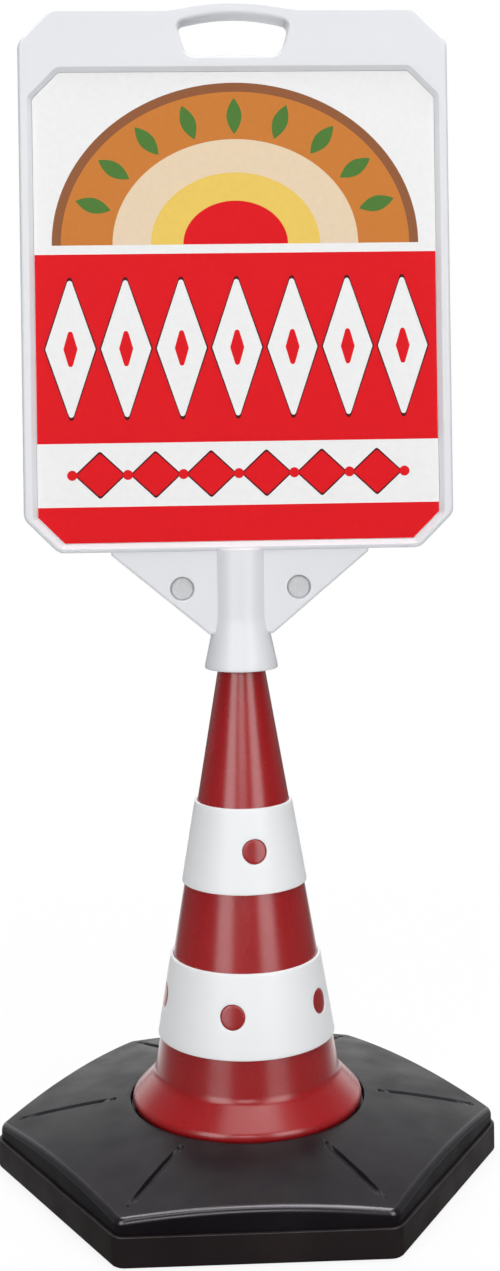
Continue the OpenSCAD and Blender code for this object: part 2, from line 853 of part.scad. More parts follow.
// What is cut out of one half: recess, hollow back, hand hole and bolt recesses
module half_plate_cuts() {
    gusset_cavity_left = [
        [gusset_cavity_inset - gusset_half_w, sign_bottom - gusset_cavity_drop],
        [-gusset_low_half_w, tube_foot_z + gusset_cavity_rise]
    ];
    top_cavity_z = print_top + bevel_w + shell_wall;
    top_cavity_in = grip_half_w + grip_side_wall;
    top_cavity_w = sign_half_w - corner_cut - shell_wall - top_cavity_in;
    loft([
        at_height(rounded(print_corners(slide_gap), print_radii, 0, 2), panel_depth),
        at_height(rounded(print_corners(slide_gap), print_radii, 0, 2), panel_depth + print_t),
        at_height(rounded(print_corners(bevel_w), print_radii, 0, 2), half_depth + eps)
    ]);
    translate([0, 0, -2 * over]) linear_extrude(cavity_depth + 2 * over)
        difference() {
            polygon(rounded(plate_corners(), plate_radii(), shell_wall, 3));
            polygon(rounded(hole_corners(), hole_radii, -shell_wall, 3));
        }
    translate([0, 0, -2 * over]) linear_extrude(gusset_half - shell_wall + 2 * over)
        polygon(concat(mirrored(gusset_cavity_left), gusset_cavity_left));
    for (side = [-1, 1])
        translate([side * (top_cavity_in + top_cavity_w / 2) - top_cavity_w / 2, top_cavity_z, 0])
            cube([top_cavity_w, sign_top - top_cavity_z - corner_r, half_depth - shell_wall]);
    loft([
        at_height(rounded(hole_corners(), hole_radii), -2 * over),
        for (a = [0, 30, 60, 90])
            at_height(rounded(hole_corners(), hole_radii, -hole_edge_r * (1 - cos(a))),
                half_depth + eps - hole_edge_r * (1 - sin(a)))
    ]);
}

module half_tube_section() {
    polygon([
        [0, mouth_z],
        [mouth_r - mouth_edge, mouth_z],
        [mouth_r, mouth_z + mouth_edge],
        [mouth_r - mouth_lip, mouth_z + mouth_lip_h],
        [tube_r + flare_step, tube_foot_z],
        [tube_r, tube_foot_z + flare_blend],
        [tube_r, sign_bottom + tube_lap - tube_lap_edge],
        [tube_r - tube_lap_edge, sign_bottom + tube_lap],
        [0, sign_bottom + tube_lap]
    ]);
}

module socket_section() {
    well_r = bush_well_r - socket_well_gap;
    polygon([
        [0, mouth_z - over],
        [mouth_r - mouth_wall, mouth_z - over],
        [mouth_r - mouth_wall - mouth_draft, mouth_z + mouth_lip_h],
        [socket_r, tube_foot_z - socket_lead_gap],
        [socket_r, socket_top],
        [well_r, socket_top],
        [well_r, socket_top + socket_well_h],
        [0, socket_top + socket_well_h]
    ]);
}

// One half of the sign head; the other half is the same moulding turned about the axis
module sign_half() {
    difference() {
        union() {
            difference() {
                union() {
                    difference() {
                        rotate([90, 0, 0]) half_plate();
                        rotate([90, 0, 0]) half_plate_cuts();
                    }
                    rotate_extrude() half_tube_section();
                    rotate([90, 0, 0]) bolt_places() cylinder(r = bolt_boss_r, h = gusset_half - over);
                }
                rotate_extrude() socket_section();
                translate([-socket_r - key_out, -key_w / 2 - slide_gap, mouth_z - over])
                    cube([2 * (socket_r + key_out), key_w + 2 * slide_gap, socket_top - mouth_z + over]);
                translate([-sign_w, 0, mouth_z - over]) cube([2 * sign_w, through, through]);
            }
            rotate([90, 0, 0]) {
                peg_bosses(-1);
                peg_bosses(1);
                peg_spots(1) translate([0, 0, -peg_l]) cylinder(r = peg_r, h = peg_l + peg_root);
            }
        }
        rotate([90, 0, 0]) {
            peg_spots(-1) translate([0, 0, -over]) cylinder(r = peg_r + rest_gap, h = peg_l + 2 * over);
            bolt_places() {
                translate([0, 0, gusset_half - bolt_recess]) cylinder(r = bolt_recess_r, h = gusset_half);
                translate([0, 0, -over]) cylinder(r = bolt_r + slide_gap, h = gusset_half + over);
                translate([0, 0, gusset_half - bolt_recess - bolt_neck_l])
                    linear_extrude(gusset_half) square(bolt_neck_w + 2 * slide_gap, center = true);
            }
        }
    }
}

module front_shell() {
    color("#e6e7eb") sign_half();
}

module rear_shell() {
    color("#e6e7eb") rotate([0, 0, 180]) sign_half();
}

// Print board that lies in a recess
module print_board() {
    rotate([90, 0, 0])
        translate([0, 0, panel_depth])
            linear_extrude(print_t)
                polygon(rounded(print_corners(), print_radii, 0, 2));
}

module front_print() {
    color("#e11c24") print_board();
}

module rear_print() {
    color("#e11c24") rotate([0, 0, 180]) print_board();
}

// Two coach bolts that clamp the halves of the head together: wide plain heads on square necks
module clamp_bolts() {
    floor_y = gusset_half - bolt_recess;
    edge_y = floor_y + bolt_head_h - bolt_head_edge;
    tip_y = -floor_y - nut_h - bolt_tip;
    color("#c9cacd")
    rotate([90, 0, 0])
        bolt_places() {
            translate([0, 0, floor_y]) cylinder(r = bolt_head_r, h = bolt_head_h - bolt_head_edge);
            translate([0, 0, edge_y])
                cylinder(r1 = bolt_head_r, r2 = bolt_head_r - bolt_head_edge, h = bolt_head_edge);
            translate([0, 0, floor_y - bolt_neck_l])
                linear_extrude(bolt_neck_l + eps) square(bolt_neck_w, center = true);
            translate([0, 0, tip_y]) cylinder(r = bolt_r, h = floor_y - tip_y + eps);
        }
}

module clamp_nuts() {
    color("#c9cacd")
    rotate([90, 0, 0])
        bolt_places()
            translate([0, 0, bolt_recess - gusset_half - nut_h])
                difference() {
                    cylinder(r = nut_r, h = nut_h, $fn = 6);
                    translate([0, 0, -over]) cylinder(r = bolt_r + rest_gap, h = nut_h + 2 * over);
                }
}

base_tray();
base_cover();
sand_ballast();
tray_screws();
fill_plug();
cone();
lower_sleeve();
upper_sleeve();
neck_washer();
neck_screw();
swivel_bush();
front_shell();
rear_shell();
front_print();
rear_print();
clamp_bolts();
clamp_nuts();
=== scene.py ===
"""Looks of the cone sign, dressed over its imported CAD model: +Z up, the sign's front looks along -Y."""
import math

import bmesh
import bpy
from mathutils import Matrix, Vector
from mathutils.geometry import tessellate_polygon


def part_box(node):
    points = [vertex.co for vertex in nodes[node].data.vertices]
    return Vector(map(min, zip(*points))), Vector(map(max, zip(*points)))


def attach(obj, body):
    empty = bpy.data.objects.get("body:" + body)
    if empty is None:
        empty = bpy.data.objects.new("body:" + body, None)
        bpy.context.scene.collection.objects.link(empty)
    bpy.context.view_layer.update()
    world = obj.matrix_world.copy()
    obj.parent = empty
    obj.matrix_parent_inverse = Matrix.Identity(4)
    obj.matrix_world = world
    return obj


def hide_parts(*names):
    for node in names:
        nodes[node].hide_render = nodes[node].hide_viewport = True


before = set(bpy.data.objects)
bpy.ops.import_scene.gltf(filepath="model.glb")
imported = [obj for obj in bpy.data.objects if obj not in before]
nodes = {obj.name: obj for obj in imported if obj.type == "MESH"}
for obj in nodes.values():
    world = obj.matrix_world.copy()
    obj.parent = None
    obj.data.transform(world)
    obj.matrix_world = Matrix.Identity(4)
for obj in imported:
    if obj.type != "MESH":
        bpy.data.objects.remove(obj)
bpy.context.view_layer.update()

MM = 1000
SIXTH = math.pi / 3
HEX_COS = math.cos(math.pi / 6)

# Sizes of the base in millimetres, the same as in the CAD model
BOX_MARGIN = 0.01
BASE_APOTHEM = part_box("base_tray")[1].y * MM - BOX_MARGIN
BASE_CORNER = 15.0
BASE_REACH = (BASE_APOTHEM - BASE_CORNER) / HEX_COS + BASE_CORNER
BASE_WALL = 5.0
TRAY_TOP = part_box("base_tray")[1].z * MM
TRAY_FLOOR = 4.0
TRAY_FOOT_R = 4
SCREW_RING = BASE_REACH - 41
SCREW_POCKET_R = 6.1
SCREW_POCKET_DEPTH = 7
SCREW_BOSS_R = 9
SCREW_BOSS_TOP = 12
SCREW_SIDES = 40
COVER_STEP = 3.0
COVER_APOTHEM = BASE_APOTHEM - COVER_STEP
COVER_CORNER = BASE_CORNER - COVER_STEP
COVER_REACH = (COVER_APOTHEM - COVER_CORNER) / HEX_COS + COVER_CORNER
CORNER_RISE = 13.4
DOME_FALL = 22.8
DOME_TOP = TRAY_TOP + CORNER_RISE + DOME_FALL * (COVER_REACH / COVER_APOTHEM) ** 2
LIP = 7.0
SEAM = 0.15
SKIRT_GAP = 0.3
SKIRT_DROP = 10
SEAT_R = 116.5
SEAT_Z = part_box("cone")[0].z * MM
SEAT_FLOOR = 4
HUB_R = 78.0
HUB_WALL = 3
HUB_TOP = SEAT_Z + 24
GROOVE_START = SEAT_R + 28
GROOVE_END = BASE_REACH - 34
GROOVE_HALF = 3.5
GROOVE_DEPTH = 2.3
GROOVE_SAG = 0.9
DIMPLE_GAP = 10.5
DIMPLE_R = 3.8
DIMPLE_FLOOR_R = 1.9
DIMPLE_DEPTH = 1.6

# Sizes of the fill plug and of the well it sits in
PLUG_Y = (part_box("fill_plug")[0].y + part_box("fill_plug")[1].y) / 2 * MM
PLUG_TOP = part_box("fill_plug")[1].z * MM
PAD_Z = PLUG_TOP - 9
WELL_R = 21.5
FILL_R = 15
FILL_DEPTH = 12
FILL_WALL_R = 23
PLUG_R = 14.7
PLUG_LENGTH = 14
PLUG_HOLLOW_R = 11.7
PLUG_CAP_R = 20
PLUG_CAP = 4
PLUG_BAR = (13, 3)
PLUG_BAR_CORNER = 2.9
PLUG_SIDES = 72

# Sizes of the cone and its sleeves
FOOT_R = 114.0
FOOT_EDGE = 8.0
FLARE_Z = SEAT_Z + 28.5
FLARE_FILLET = 14
CONE_BASE_R = 92.5
CONE_TOP_R = 21.6
CONE_WALL = 3.0
CONE_SIDES = 192
SHOULDER_Z = 500.0
SHOULDER_EDGE = 1.2
NECK_R = 16.0
NECK_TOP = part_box("cone")[1].z * MM
NECK_WALL = 3
SLOPE = (CONE_BASE_R - CONE_TOP_R) / (SHOULDER_Z - FLARE_Z)
LEAN = math.atan(SLOPE)
SLEEVE_GAP = 0.4
SLEEVE_WALL = 2.4
SLEEVE_EDGE = 0.7
SLEEVE_HOLE_R = 12.0
BUTTON_R = 11.8
BUTTON_SUNK = 0.1
BUTTON_SIDES = 56
# Node, lower edge, height, number of holes and the direction of the first one in degrees
SLEEVES = {"low": ("lower_sleeve", 129, 78, 5, 258.5), "high": ("upper_sleeve", 279, 80, 3, 278.8)}

# Sizes of the sign head
SIGN_HALF_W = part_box("front_shell")[1].x * MM
SIGN_BOTTOM = 608.0
SIGN_TOP = SIGN_BOTTOM + 538
HALF_DEPTH = 18.0
PLATE_CUT = 34
PLATE_CORNER = 14
PLATE_EDGE = 4
ARCH_X = 62.5
ARCH_RISE = 10.5
HOLE_TOP = SIGN_TOP - 7.5
HOLE_RISE = 6.5
HOLE_HEIGHT = 40
HOLE_LOW_W = 47.5
HOLE_HIGH_W = 56.5
HOLE_EDGE = 3.5
PRINT_FRONT = 13.0
PRINT_MARGIN = 13.5
PRINT_W = SIGN_HALF_W - PRINT_MARGIN
PRINT_LOW = SIGN_BOTTOM + 9
PRINT_HIGH = SIGN_TOP - 63
CUT_PER_INSET = 2 - math.sqrt(2)
PRINT_CUT = PLATE_CUT - PRINT_MARGIN * CUT_PER_INSET
PANEL = 11.0
GUSSET = 14.0
GUSSET_EDGE = 3
GUSSET_W = 129
MOUTH_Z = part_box("front_shell")[0].z * MM
MOUTH_R = 36.5
TUBE_FOOT = MOUTH_Z + 31
TUBE_R = 27.0
TUBE_CORE_R = 2
FLARE_TOP_R = TUBE_R + 3.4
FLARE_BLEND = 18.0
SOCKET_R = 20.8
SOCKET_TOP = 590.2
KEY_HALF = 2.3
KEY_DEPTH = 1.9
KEY_EDGE = 0.002
BOLT_X = 58.0
BOLT_HEAD_R = 11.4
BOLT_POCKET_R = 12
BOLT_SIDES = 64
BOLT_Z = (SIGN_BOTTOM + TUBE_FOOT) / 2 + 6


# Shapes

def turned(v, angle):
    c, s = math.cos(angle), math.sin(angle)
    return Vector((v[0] * c - v[1] * s, v[0] * s + v[1] * c))


def smooth(low, high, x):
    t = min(1.0, max(0.0, (x - low) / (high - low)))
    return t * t * (3 - 2 * t)


def polar(r, angle, z):
    return (r * math.cos(angle), r * math.sin(angle), z)


def circle(radius, z, count, centre=(0.0, 0.0)):
    turns = [2 * math.pi * i / count for i in range(count)]
    return [(centre[0] + radius * math.cos(t), centre[1] + radius * math.sin(t), z) for t in turns]


def corner_arc(before, corner, after, radius, steps):
    arrive = (corner - before).normalized()
    leave = (after - corner).normalized()
    turn = math.atan2(arrive.x * leave.y - arrive.y * leave.x, arrive.dot(leave))
    start = corner - radius * math.tan(abs(turn) / 2) * arrive
    side = 1 if turn > 0 else -1
    centre = start + side * radius * Vector((-arrive.y, arrive.x))
    return [centre + turned(start - centre, turn * k / steps) for k in range(steps + 1)]


def outline(points, radii, inset=0.0, steps=8):
    """Anticlockwise outline, moved inwards and with its corners rounded."""
    points = [Vector(p) for p in points]
    count = len(points)
    least_radius = 0.3
    moved, turns = [], []
    for i, p in enumerate(points):
        d1 = (p - points[i - 1]).normalized()
        d2 = (points[(i + 1) % count] - p).normalized()
        n1, n2 = Vector((-d1.y, d1.x)), Vector((-d2.y, d2.x))
        moved.append(p + inset * (n1 + n2) / (1 + n1.dot(n2)))
        turns.append(d1.x * d2.y - d1.y * d2.x)
    found = []
    for i, p in enumerate(moved):
        radius = max(least_radius, radii[i] - inset if turns[i] > 0 else radii[i] + inset)
        found += corner_arc(moved[i - 1], p, moved[(i + 1) % count], radius, steps)
    return found


class Skin:
    """Points in millimetres and the faces between them, gathered into one mesh."""

    def __init__(self):
        self.points = []
        self.faces = []

    def ring(self, points):
        first = len(self.points)
        self.points.extend(tuple(p) for p in points)
        return list(range(first, len(self.points)))

    def band(self, a, b, closed=True, skip=()):
        count = len(a)
        for i in range(count if closed else count - 1):
            if i not in skip:
                j = (i + 1) % count
                self.faces.append((a[i], a[j], b[j], b[i]))

    def bands(self, rings, closed=True):
        for a, b in zip(rings, rings[1:]):
            self.band(a, b, closed)

    def cap(self, ring):
        self.faces.append(tuple(ring))

    def fill(self, loops, axes=(0, 1)):
        """Triangles of the flat area inside the first loop and outside the others."""
        u, v = axes
        flat = [[Vector((self.points[i][u], self.points[i][v], 0)) for i in loop] for loop in loops]
        ids = [i for loop in loops for i in loop]
        for triangle in tessellate_polygon(flat):
            self.faces.append(tuple(ids[k] for k in triangle))


def piece(name, skin, body, look, replaces=(), sharp=35, weighted=False):
    """Mesh object from a skin; edges sharper than so many degrees stay sharp."""
    mesh = bpy.data.meshes.new(name)
    mesh.from_pydata([[c / MM for c in p] for p in skin.points], [], skin.faces)
    bm = bmesh.new()
    bm.from_mesh(mesh)
    bmesh.ops.remove_doubles(bm, verts=bm.verts, dist=1e-6)
    bmesh.ops.recalc_face_normals(bm, faces=bm.faces)
    bm.to_mesh(mesh)
    bm.free()
    mesh.shade_smooth()
    mesh.set_sharp_from_angle(angle=math.radians(sharp))
    mesh.materials.append(look)
    obj = bpy.data.objects.new(name, mesh)
    bpy.context.scene.collection.objects.link(obj)
    if weighted:
        even = obj.modifiers.new("even_normals", "WEIGHTED_NORMAL")
        even.keep_sharp = True
    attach(obj, body)
    if replaces:
        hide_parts(*replaces)


# Nodes of the materials

def object_place(tree):
    return tree.nodes.new("ShaderNodeTexCoord").outputs["Object"]


def split_xyz(tree, source):
    node = tree.nodes.new("ShaderNodeSeparateXYZ")
    tree.links.new(source, node.inputs["Vector"])
    return node.outputs


def facing_up(tree):
    """Upward part of the surface's normal, from -1 to 1."""
    shape = tree.nodes.new("ShaderNodeNewGeometry")
    return split_xyz(tree, shape.outputs["Normal"])["Z"]


def calc(tree, operation, *sources, clamp=False):
    node = tree.nodes.new("ShaderNodeMath")
    node.operation = operation
    node.use_clamp = clamp
    for source, socket in zip(sources, node.inputs):
        tree.links.new(source, socket)
    return node.outputs[0]


def vector_calc(tree, operation, source, other=None, result="Value"):
    node = tree.nodes.new("ShaderNodeVectorMath")
    node.operation = operation
    tree.links.new(source, node.inputs[0])
    if other:
        node.inputs[1].default_value = other
    return node.outputs[result]


def noise(tree, scale, detail, stretch=(1, 1, 1)):
    """Noise in the part's own metres; scale is in features per metre."""
    spread = tree.nodes.new("ShaderNodeMapping")
    spread.inputs["Scale"].default_value = stretch
    tex = tree.nodes.new("ShaderNodeTexNoise")
    tex.inputs["Scale"].default_value = scale
    tex.inputs["Detail"].default_value = detail
    tree.links.new(object_place(tree), spread.inputs["Vector"])
    tree.links.new(spread.outputs["Vector"], tex.inputs["Vector"])
    return tex.outputs["Fac"]


def ramp(tree, source, stops):
    node = tree.nodes.new("ShaderNodeValToRGB")
    elements = node.color_ramp.elements
    while len(elements) < len(stops):
        elements.new(0.5)
    for element, (at, colour) in zip(elements, stops):
        element.position = at
        element.color = (*colour, 1)
    tree.links.new(source, node.inputs["Fac"])
    return node.outputs["Color"]


def spread_to(tree, source, low, high, start=0.35, end=0.65):
    """Low where the source is at the start or before it, high at the end or beyond."""
    node = tree.nodes.new("ShaderNodeMapRange")
    node.inputs["From Min"].default_value = start
    node.inputs["From Max"].default_value = end
    node.inputs["To Min"].default_value = low
    node.inputs["To Max"].default_value = high
    tree.links.new(source, node.inputs["Value"])
    return node.outputs["Result"]


def blended(tree, share, source, colour):
    """The source's colour, with the given share of one even colour."""
    node = tree.nodes.new("ShaderNodeMix")
    node.data_type = "RGBA"
    factor, first, second, result = 0, 6, 7, 2
    tree.links.new(share, node.inputs[factor])
    tree.links.new(source, node.inputs[first])
    node.inputs[second].default_value = (*colour, 1)
    return node.outputs[result]


def bumped(tree, layers):
    """Bump nodes one after the other; a layer is its height, its strength and its depth in millimetres."""
    normal = None
    for height, strength, depth in layers:
        node = tree.nodes.new("ShaderNodeBump")
        node.inputs["Strength"].default_value = strength
        node.inputs["Distance"].default_value = depth / MM
        tree.links.new(height, node.inputs["Height"])
        if normal:
            tree.links.new(normal, node.inputs["Normal"])
        normal = node.outputs["Normal"]
    return normal


def mirror_rays(tree, path):
    """1 for the rays that show what a glossy or clear surface reflects or lets through."""
    return calc(tree, "ADD", path["Is Glossy Ray"], path["Is Transmission Ray"], clamp=True)


def join_shaders(tree, amount, first, second, output):
    mix = tree.nodes.new("ShaderNodeMixShader")
    for source, socket in zip((amount, first.outputs[0], second.outputs[0]), mix.inputs):
        tree.links.new(source, socket)
    tree.links.new(mix.outputs[0], tree.nodes.new(output).inputs["Surface"])


# Materials

def new_look(name):
    look = bpy.data.materials.new(name)
    look.use_nodes = True
    return look, look.node_tree, look.node_tree.nodes["Principled BSDF"]


def in_grooves(tree):
    """1 along the six grooves of the cover, which nothing rubs, and 0 elsewhere."""
    level = vector_calc(tree, "MULTIPLY", object_place(tree), (1, 1, 0), "Vector")
    gaps = []
    for angle in (0, SIXTH, 2 * SIXTH):
        across = (math.sin(angle), -math.cos(angle), 0)
        gaps.append(calc(tree, "ABSOLUTE", vector_calc(tree, "DOT_PRODUCT", level, across)))
    nearest = calc(tree, "MINIMUM", calc(tree, "MINIMUM", gaps[0], gaps[1]), gaps[2])
    beside = spread_to(tree, nearest, 1.0, 0.0, 0.005, 0.008)
    limit = (BASE_REACH - 18) / MM
    within = spread_to(tree, vector_calc(tree, "LENGTH", level), 1.0, 0.0, limit, limit + 0.003)
    return calc(tree, "MULTIPLY", beside, within)


def rubbed(tree, shader, rough, wall, edge, top):
    """Gloss by the way a surface faces: upright walls, rounded edges rubbed smooth, and level tops."""
    up = facing_up(tree)
    grooves = in_grooves(tree)

    def by_facing(on_wall, on_edge, on_top):
        stops = [(0.12, on_wall), (0.36, on_edge), (0.935, on_edge), (0.975, on_top)]
        facing = ramp(tree, up, [(at, (value,) * 3) for at, value in stops])
        return blended(tree, grooves, facing, (on_top,) * 3)

    tree.links.new(by_facing(wall, edge, top), shader.inputs["Specular IOR Level"])
    shader.inputs["Specular Tint"].default_value = (0.97, 0.93, 1.0, 1)
    tree.links.new(calc(tree, "MULTIPLY", rough, by_facing(1.0, 0.62, 1.0)), shader.inputs["Roughness"])


def moulded(
        name, shades, rough, grain, depth, specular=0.5, streak=None, dust=None, coat=0.0, rub=None,
        wave=0.25):
    """Moulded plastic: clouded colour, uneven gloss, a moulding grain, and dust where it faces up.

    The grain's size and depth are in millimetres. Streak and dust are a colour and its greatest share.
    """
    look, tree, shader = new_look(name)
    cloud = noise(tree, scale=9, detail=5)
    colour = ramp(tree, cloud, list(zip((0.3, 0.52, 0.72), shades)))
    if streak:
        flow = noise(tree, scale=60, detail=3, stretch=(1, 1, 0.06))
        colour = blended(tree, spread_to(tree, flow, 0.0, streak[1], 0.5, 0.75), colour, streak[0])
    if dust:
        patch = spread_to(tree, noise(tree, scale=38, detail=8), 0.0, dust[1], 0.38, 0.72)
        level = spread_to(tree, facing_up(tree), 0.0, 1.0, 0.55, 0.98)
        colour = blended(tree, calc(tree, "MULTIPLY", level, patch), colour, dust[0])
    tree.links.new(colour, shader.inputs["Base Color"])
    roughness = spread_to(tree, noise(tree, scale=24, detail=6), *rough)
    tree.links.new(roughness, shader.inputs["Roughness"])
    ripple = noise(tree, scale=14, detail=2)
    grains = noise(tree, scale=MM / grain, detail=2)
    tree.links.new(bumped(tree, [(ripple, wave, 0.5), (grains, 0.5, depth)]), shader.inputs["Normal"])
    shader.inputs["Specular IOR Level"].default_value = specular
    if rub:
        rubbed(tree, shader, roughness, *rub)
    if coat:
        shader.inputs["Coat Weight"].default_value = coat
        shader.inputs["Coat Roughness"].default_value = 0.24
    return look


def ink(name, colour):
    """Printed film: a faint press mottle and the light orange peel of its clear top layer."""
    look, tree, shader = new_look(name)
    lighter = tuple(min(0.93, c * 1.012 + 0.001) for c in colour)
    darker = tuple(c * 0.986 for c in colour)
    mottle = noise(tree, scale=160, detail=6)
    tree.links.new(
        ramp(tree, mottle, [(0.35, darker), (0.5, colour), (0.68, lighter)]), shader.inputs["Base Color"])
    tree.links.new(
        spread_to(tree, noise(tree, scale=30, detail=4), 0.40, 0.52), shader.inputs["Roughness"])
    sag = noise(tree, scale=12, detail=2)
    peel = noise(tree, scale=420, detail=2)
    tree.links.new(bumped(tree, [(sag, 0.15, 0.4), (peel, 0.25, 0.03)]), shader.inputs["Normal"])
    shader.inputs["Specular IOR Level"].default_value = 0.06
    return look


def plated(name, tint, rough, metal=1.0, cloud=0.72):
    """Zinc on steel: cloudy spangle and fine turning marks; a dull flake coat has less metal in it."""
    look, tree, shader = new_look(name)
    shader.inputs["Metallic"].default_value = metal
    dull = tuple(c * cloud for c in tint)
    bright = tuple(c * 1.05 for c in tint)
    spangle = noise(tree, scale=260, detail=5)
    tree.links.new(
        ramp(tree, spangle, [(0.3, dull), (0.55, tint), (0.75, bright)]), shader.inputs["Base Color"])
    tree.links.new(spread_to(tree, noise(tree, scale=500, detail=4), *rough), shader.inputs["Roughness"])
    marks = noise(tree, scale=1500, detail=3, stretch=(1, 1, 6))
    tree.links.new(bumped(tree, [(marks, 0.3, 0.03)]), shader.inputs["Normal"])
    return look


def loose_sand(name):
    look, tree, shader = new_look(name)
    shades = [(0.3, (0.30, 0.20, 0.10)), (0.5, (0.54, 0.42, 0.25)), (0.7, (0.72, 0.62, 0.45))]
    tree.links.new(ramp(tree, noise(tree, scale=900, detail=6), shades), shader.inputs["Base Color"])
    shader.inputs["Roughness"].default_value = 0.95
    heaps = noise(tree, scale=40, detail=4)
    grains = noise(tree, scale=800, detail=4)
    tree.links.new(bumped(tree, [(heaps, 0.6, 3), (grains, 1.0, 0.6)]), shader.inputs["Normal"])
    return look


cover_look = moulded(
    "cover_black", [(0.0058, 0.0048, 0.0062), (0.0072, 0.0060, 0.0077), (0.0095, 0.0082, 0.0100)],
    rough=(0.32, 0.44), grain=0.9, depth=0.03, dust=((0.085, 0.076, 0.074), 0.10), rub=(0.06, 0.95, 0.24))
tray_look = moulded(
    "tray_black", [(0.0115, 0.0080, 0.0082), (0.0145, 0.0102, 0.0105), (0.0190, 0.0140, 0.0140)],
    rough=(0.40, 0.54), grain=0.9, depth=0.04, dust=((0.12, 0.105, 0.095), 0.16), rub=(0.10, 0.95, 0.35))
cone_look = moulded(
    "cone_red", [(0.315, 0.0070, 0.0090), (0.340, 0.0085, 0.0110), (0.365, 0.0105, 0.0135)],
    rough=(0.24, 0.31), grain=1.6, depth=0.012, specular=0.35, streak=((0.40, 0.017, 0.022), 0.3), coat=1.0)
sleeve_look = moulded(
    "sleeve_white", [(0.862, 0.876, 0.888), (0.867, 0.881, 0.893), (0.874, 0.887, 0.898)],
    rough=(0.38, 0.42), grain=1.6, depth=0.012, streak=((0.85, 0.866, 0.88), 0.2), wave=0.06)
shell_look = moulded(
    "shell_white", [(0.793, 0.803, 0.833), (0.80, 0.81, 0.84), (0.807, 0.817, 0.846)],
    rough=(0.33, 0.37), grain=1.2, depth=0.02, streak=((0.775, 0.785, 0.818), 0.2), wave=0.1)
bush_look = moulded(
    "bush_grey", [(0.62, 0.62, 0.64), (0.68, 0.68, 0.70), (0.73, 0.73, 0.75)],
    rough=(0.38, 0.52), grain=1.0, depth=0.05)
rubber_look = moulded(
    "plug_black", [(0.014, 0.014, 0.015), (0.020, 0.020, 0.022), (0.028, 0.028, 0.029)],
    rough=(0.62, 0.80), grain=0.6, depth=0.10, specular=0.3, dust=((0.18, 0.165, 0.15), 0.3))
zinc_look = plated("zinc_plate", (0.62, 0.63, 0.65), (0.28, 0.45))
bolt_look = plated("bolt_flake", (0.64, 0.645, 0.66), (0.52, 0.62), metal=0.2, cloud=0.93)
sand_look = loose_sand("sand_grains")
paper_look = ink("print_white", (0.89, 0.89, 0.89))
red_look = ink("print_red", (0.76, 0.012, 0.018))
brown_look = ink("print_brown", (0.30, 0.115, 0.05))
orange_look = ink("print_orange", (0.62, 0.215, 0.045))
cream_look = ink("print_cream", (0.83, 0.66, 0.47))
green_look = ink("print_green", (0.085, 0.21, 0.045))
yellow_look = ink("print_yellow", (0.86, 0.60, 0.13))
dark_look = ink("print_dark", (0.075, 0.012, 0.014))


# Base: a hexagon with round corners, in columns of points that crowd together at its six corners

HALF_SECTOR = [0.2 * i for i in range(13)]
HALF_SECTOR += [2.8, 3.3, 4, 5, 6.5, 8.5, 11, 13.5, 16, 18]
HALF_SECTOR += range(20, 31)
COLUMNS = [
    math.radians(60 * k + turn)
    for k in range(6)
    for turn in [-h for h in reversed(HALF_SECTOR[1:-1])] + HALF_SECTOR
]


def dome(r):
    return DOME_TOP - DOME_FALL * (r / COVER_APOTHEM) ** 2


def from_corner(angle):
    """Turn from the nearest corner's direction."""
    return angle - SIXTH * round(angle / SIXTH)


def hex_edge(apothem, corner, angle):
    """Where a ray from the axis leaves the hexagon, and the outward normal there."""
    turn = from_corner(angle)
    reach = (apothem - corner) / HEX_COS
    ray = Vector((math.cos(turn), math.sin(turn)))
    if abs(turn) <= math.atan2(corner / 2, reach + corner * HEX_COS):
        along = reach * ray.x + math.sqrt(max(0.0, (reach * ray.x) ** 2 - reach ** 2 + corner ** 2))
        point = along * ray
        normal = (point - Vector((reach, 0))) / corner
    else:
        normal = turned((1, 0), math.copysign(math.pi / 6, turn))
        point = ray * (apothem / ray.dot(normal))
    return turned(point, angle - turn), turned(normal, angle - turn)


def hex_ring(apothem, corner, z):
    return [(*hex_edge(apothem, corner, a)[0], z) for a in COLUMNS]


def cover_top(x, y):
    """Height of the dome with its six grooves and the round dimples beyond their ends."""
    r = math.hypot(x, y)
    turn = from_corner(math.atan2(y, x))
    along, aside = r * math.cos(turn), r * math.sin(turn)
    off = math.hypot(along - min(max(along, GROOVE_START), GROOVE_END), aside)
    end = min(
        math.hypot(along - GROOVE_START + DIMPLE_GAP, aside),
        math.hypot(along - GROOVE_END - DIMPLE_GAP, aside))
    part = (2 * along - GROOVE_START - GROOVE_END) / (GROOVE_END - GROOVE_START)
    sag = max(0.0, GROOVE_SAG * (1 - part ** 2))
    cut = (GROOVE_DEPTH + sag) * (1 - smooth(GROOVE_HALF - 1.5, GROOVE_HALF + 0.5, off))
    dimple = DIMPLE_DEPTH * (1 - smooth(DIMPLE_FLOOR_R, DIMPLE_R, end))
    return dome(r) - cut - dimple


def cover_under(x, y):
    return dome(math.hypot(x, y)) - BASE_WALL


def window(rings, rows, columns):
    """Loop of points round a block of a grid of rings."""
    first, last = rows
    start, stop = columns
    loop = [rings[first][c] for c in range(start, stop)]
    loop += [rings[r][stop] for r in range(first, last)]
    loop += [rings[last][c] for c in range(stop, start, -1)]
    return loop + [rings[r][start] for r in range(last, first, -1)]


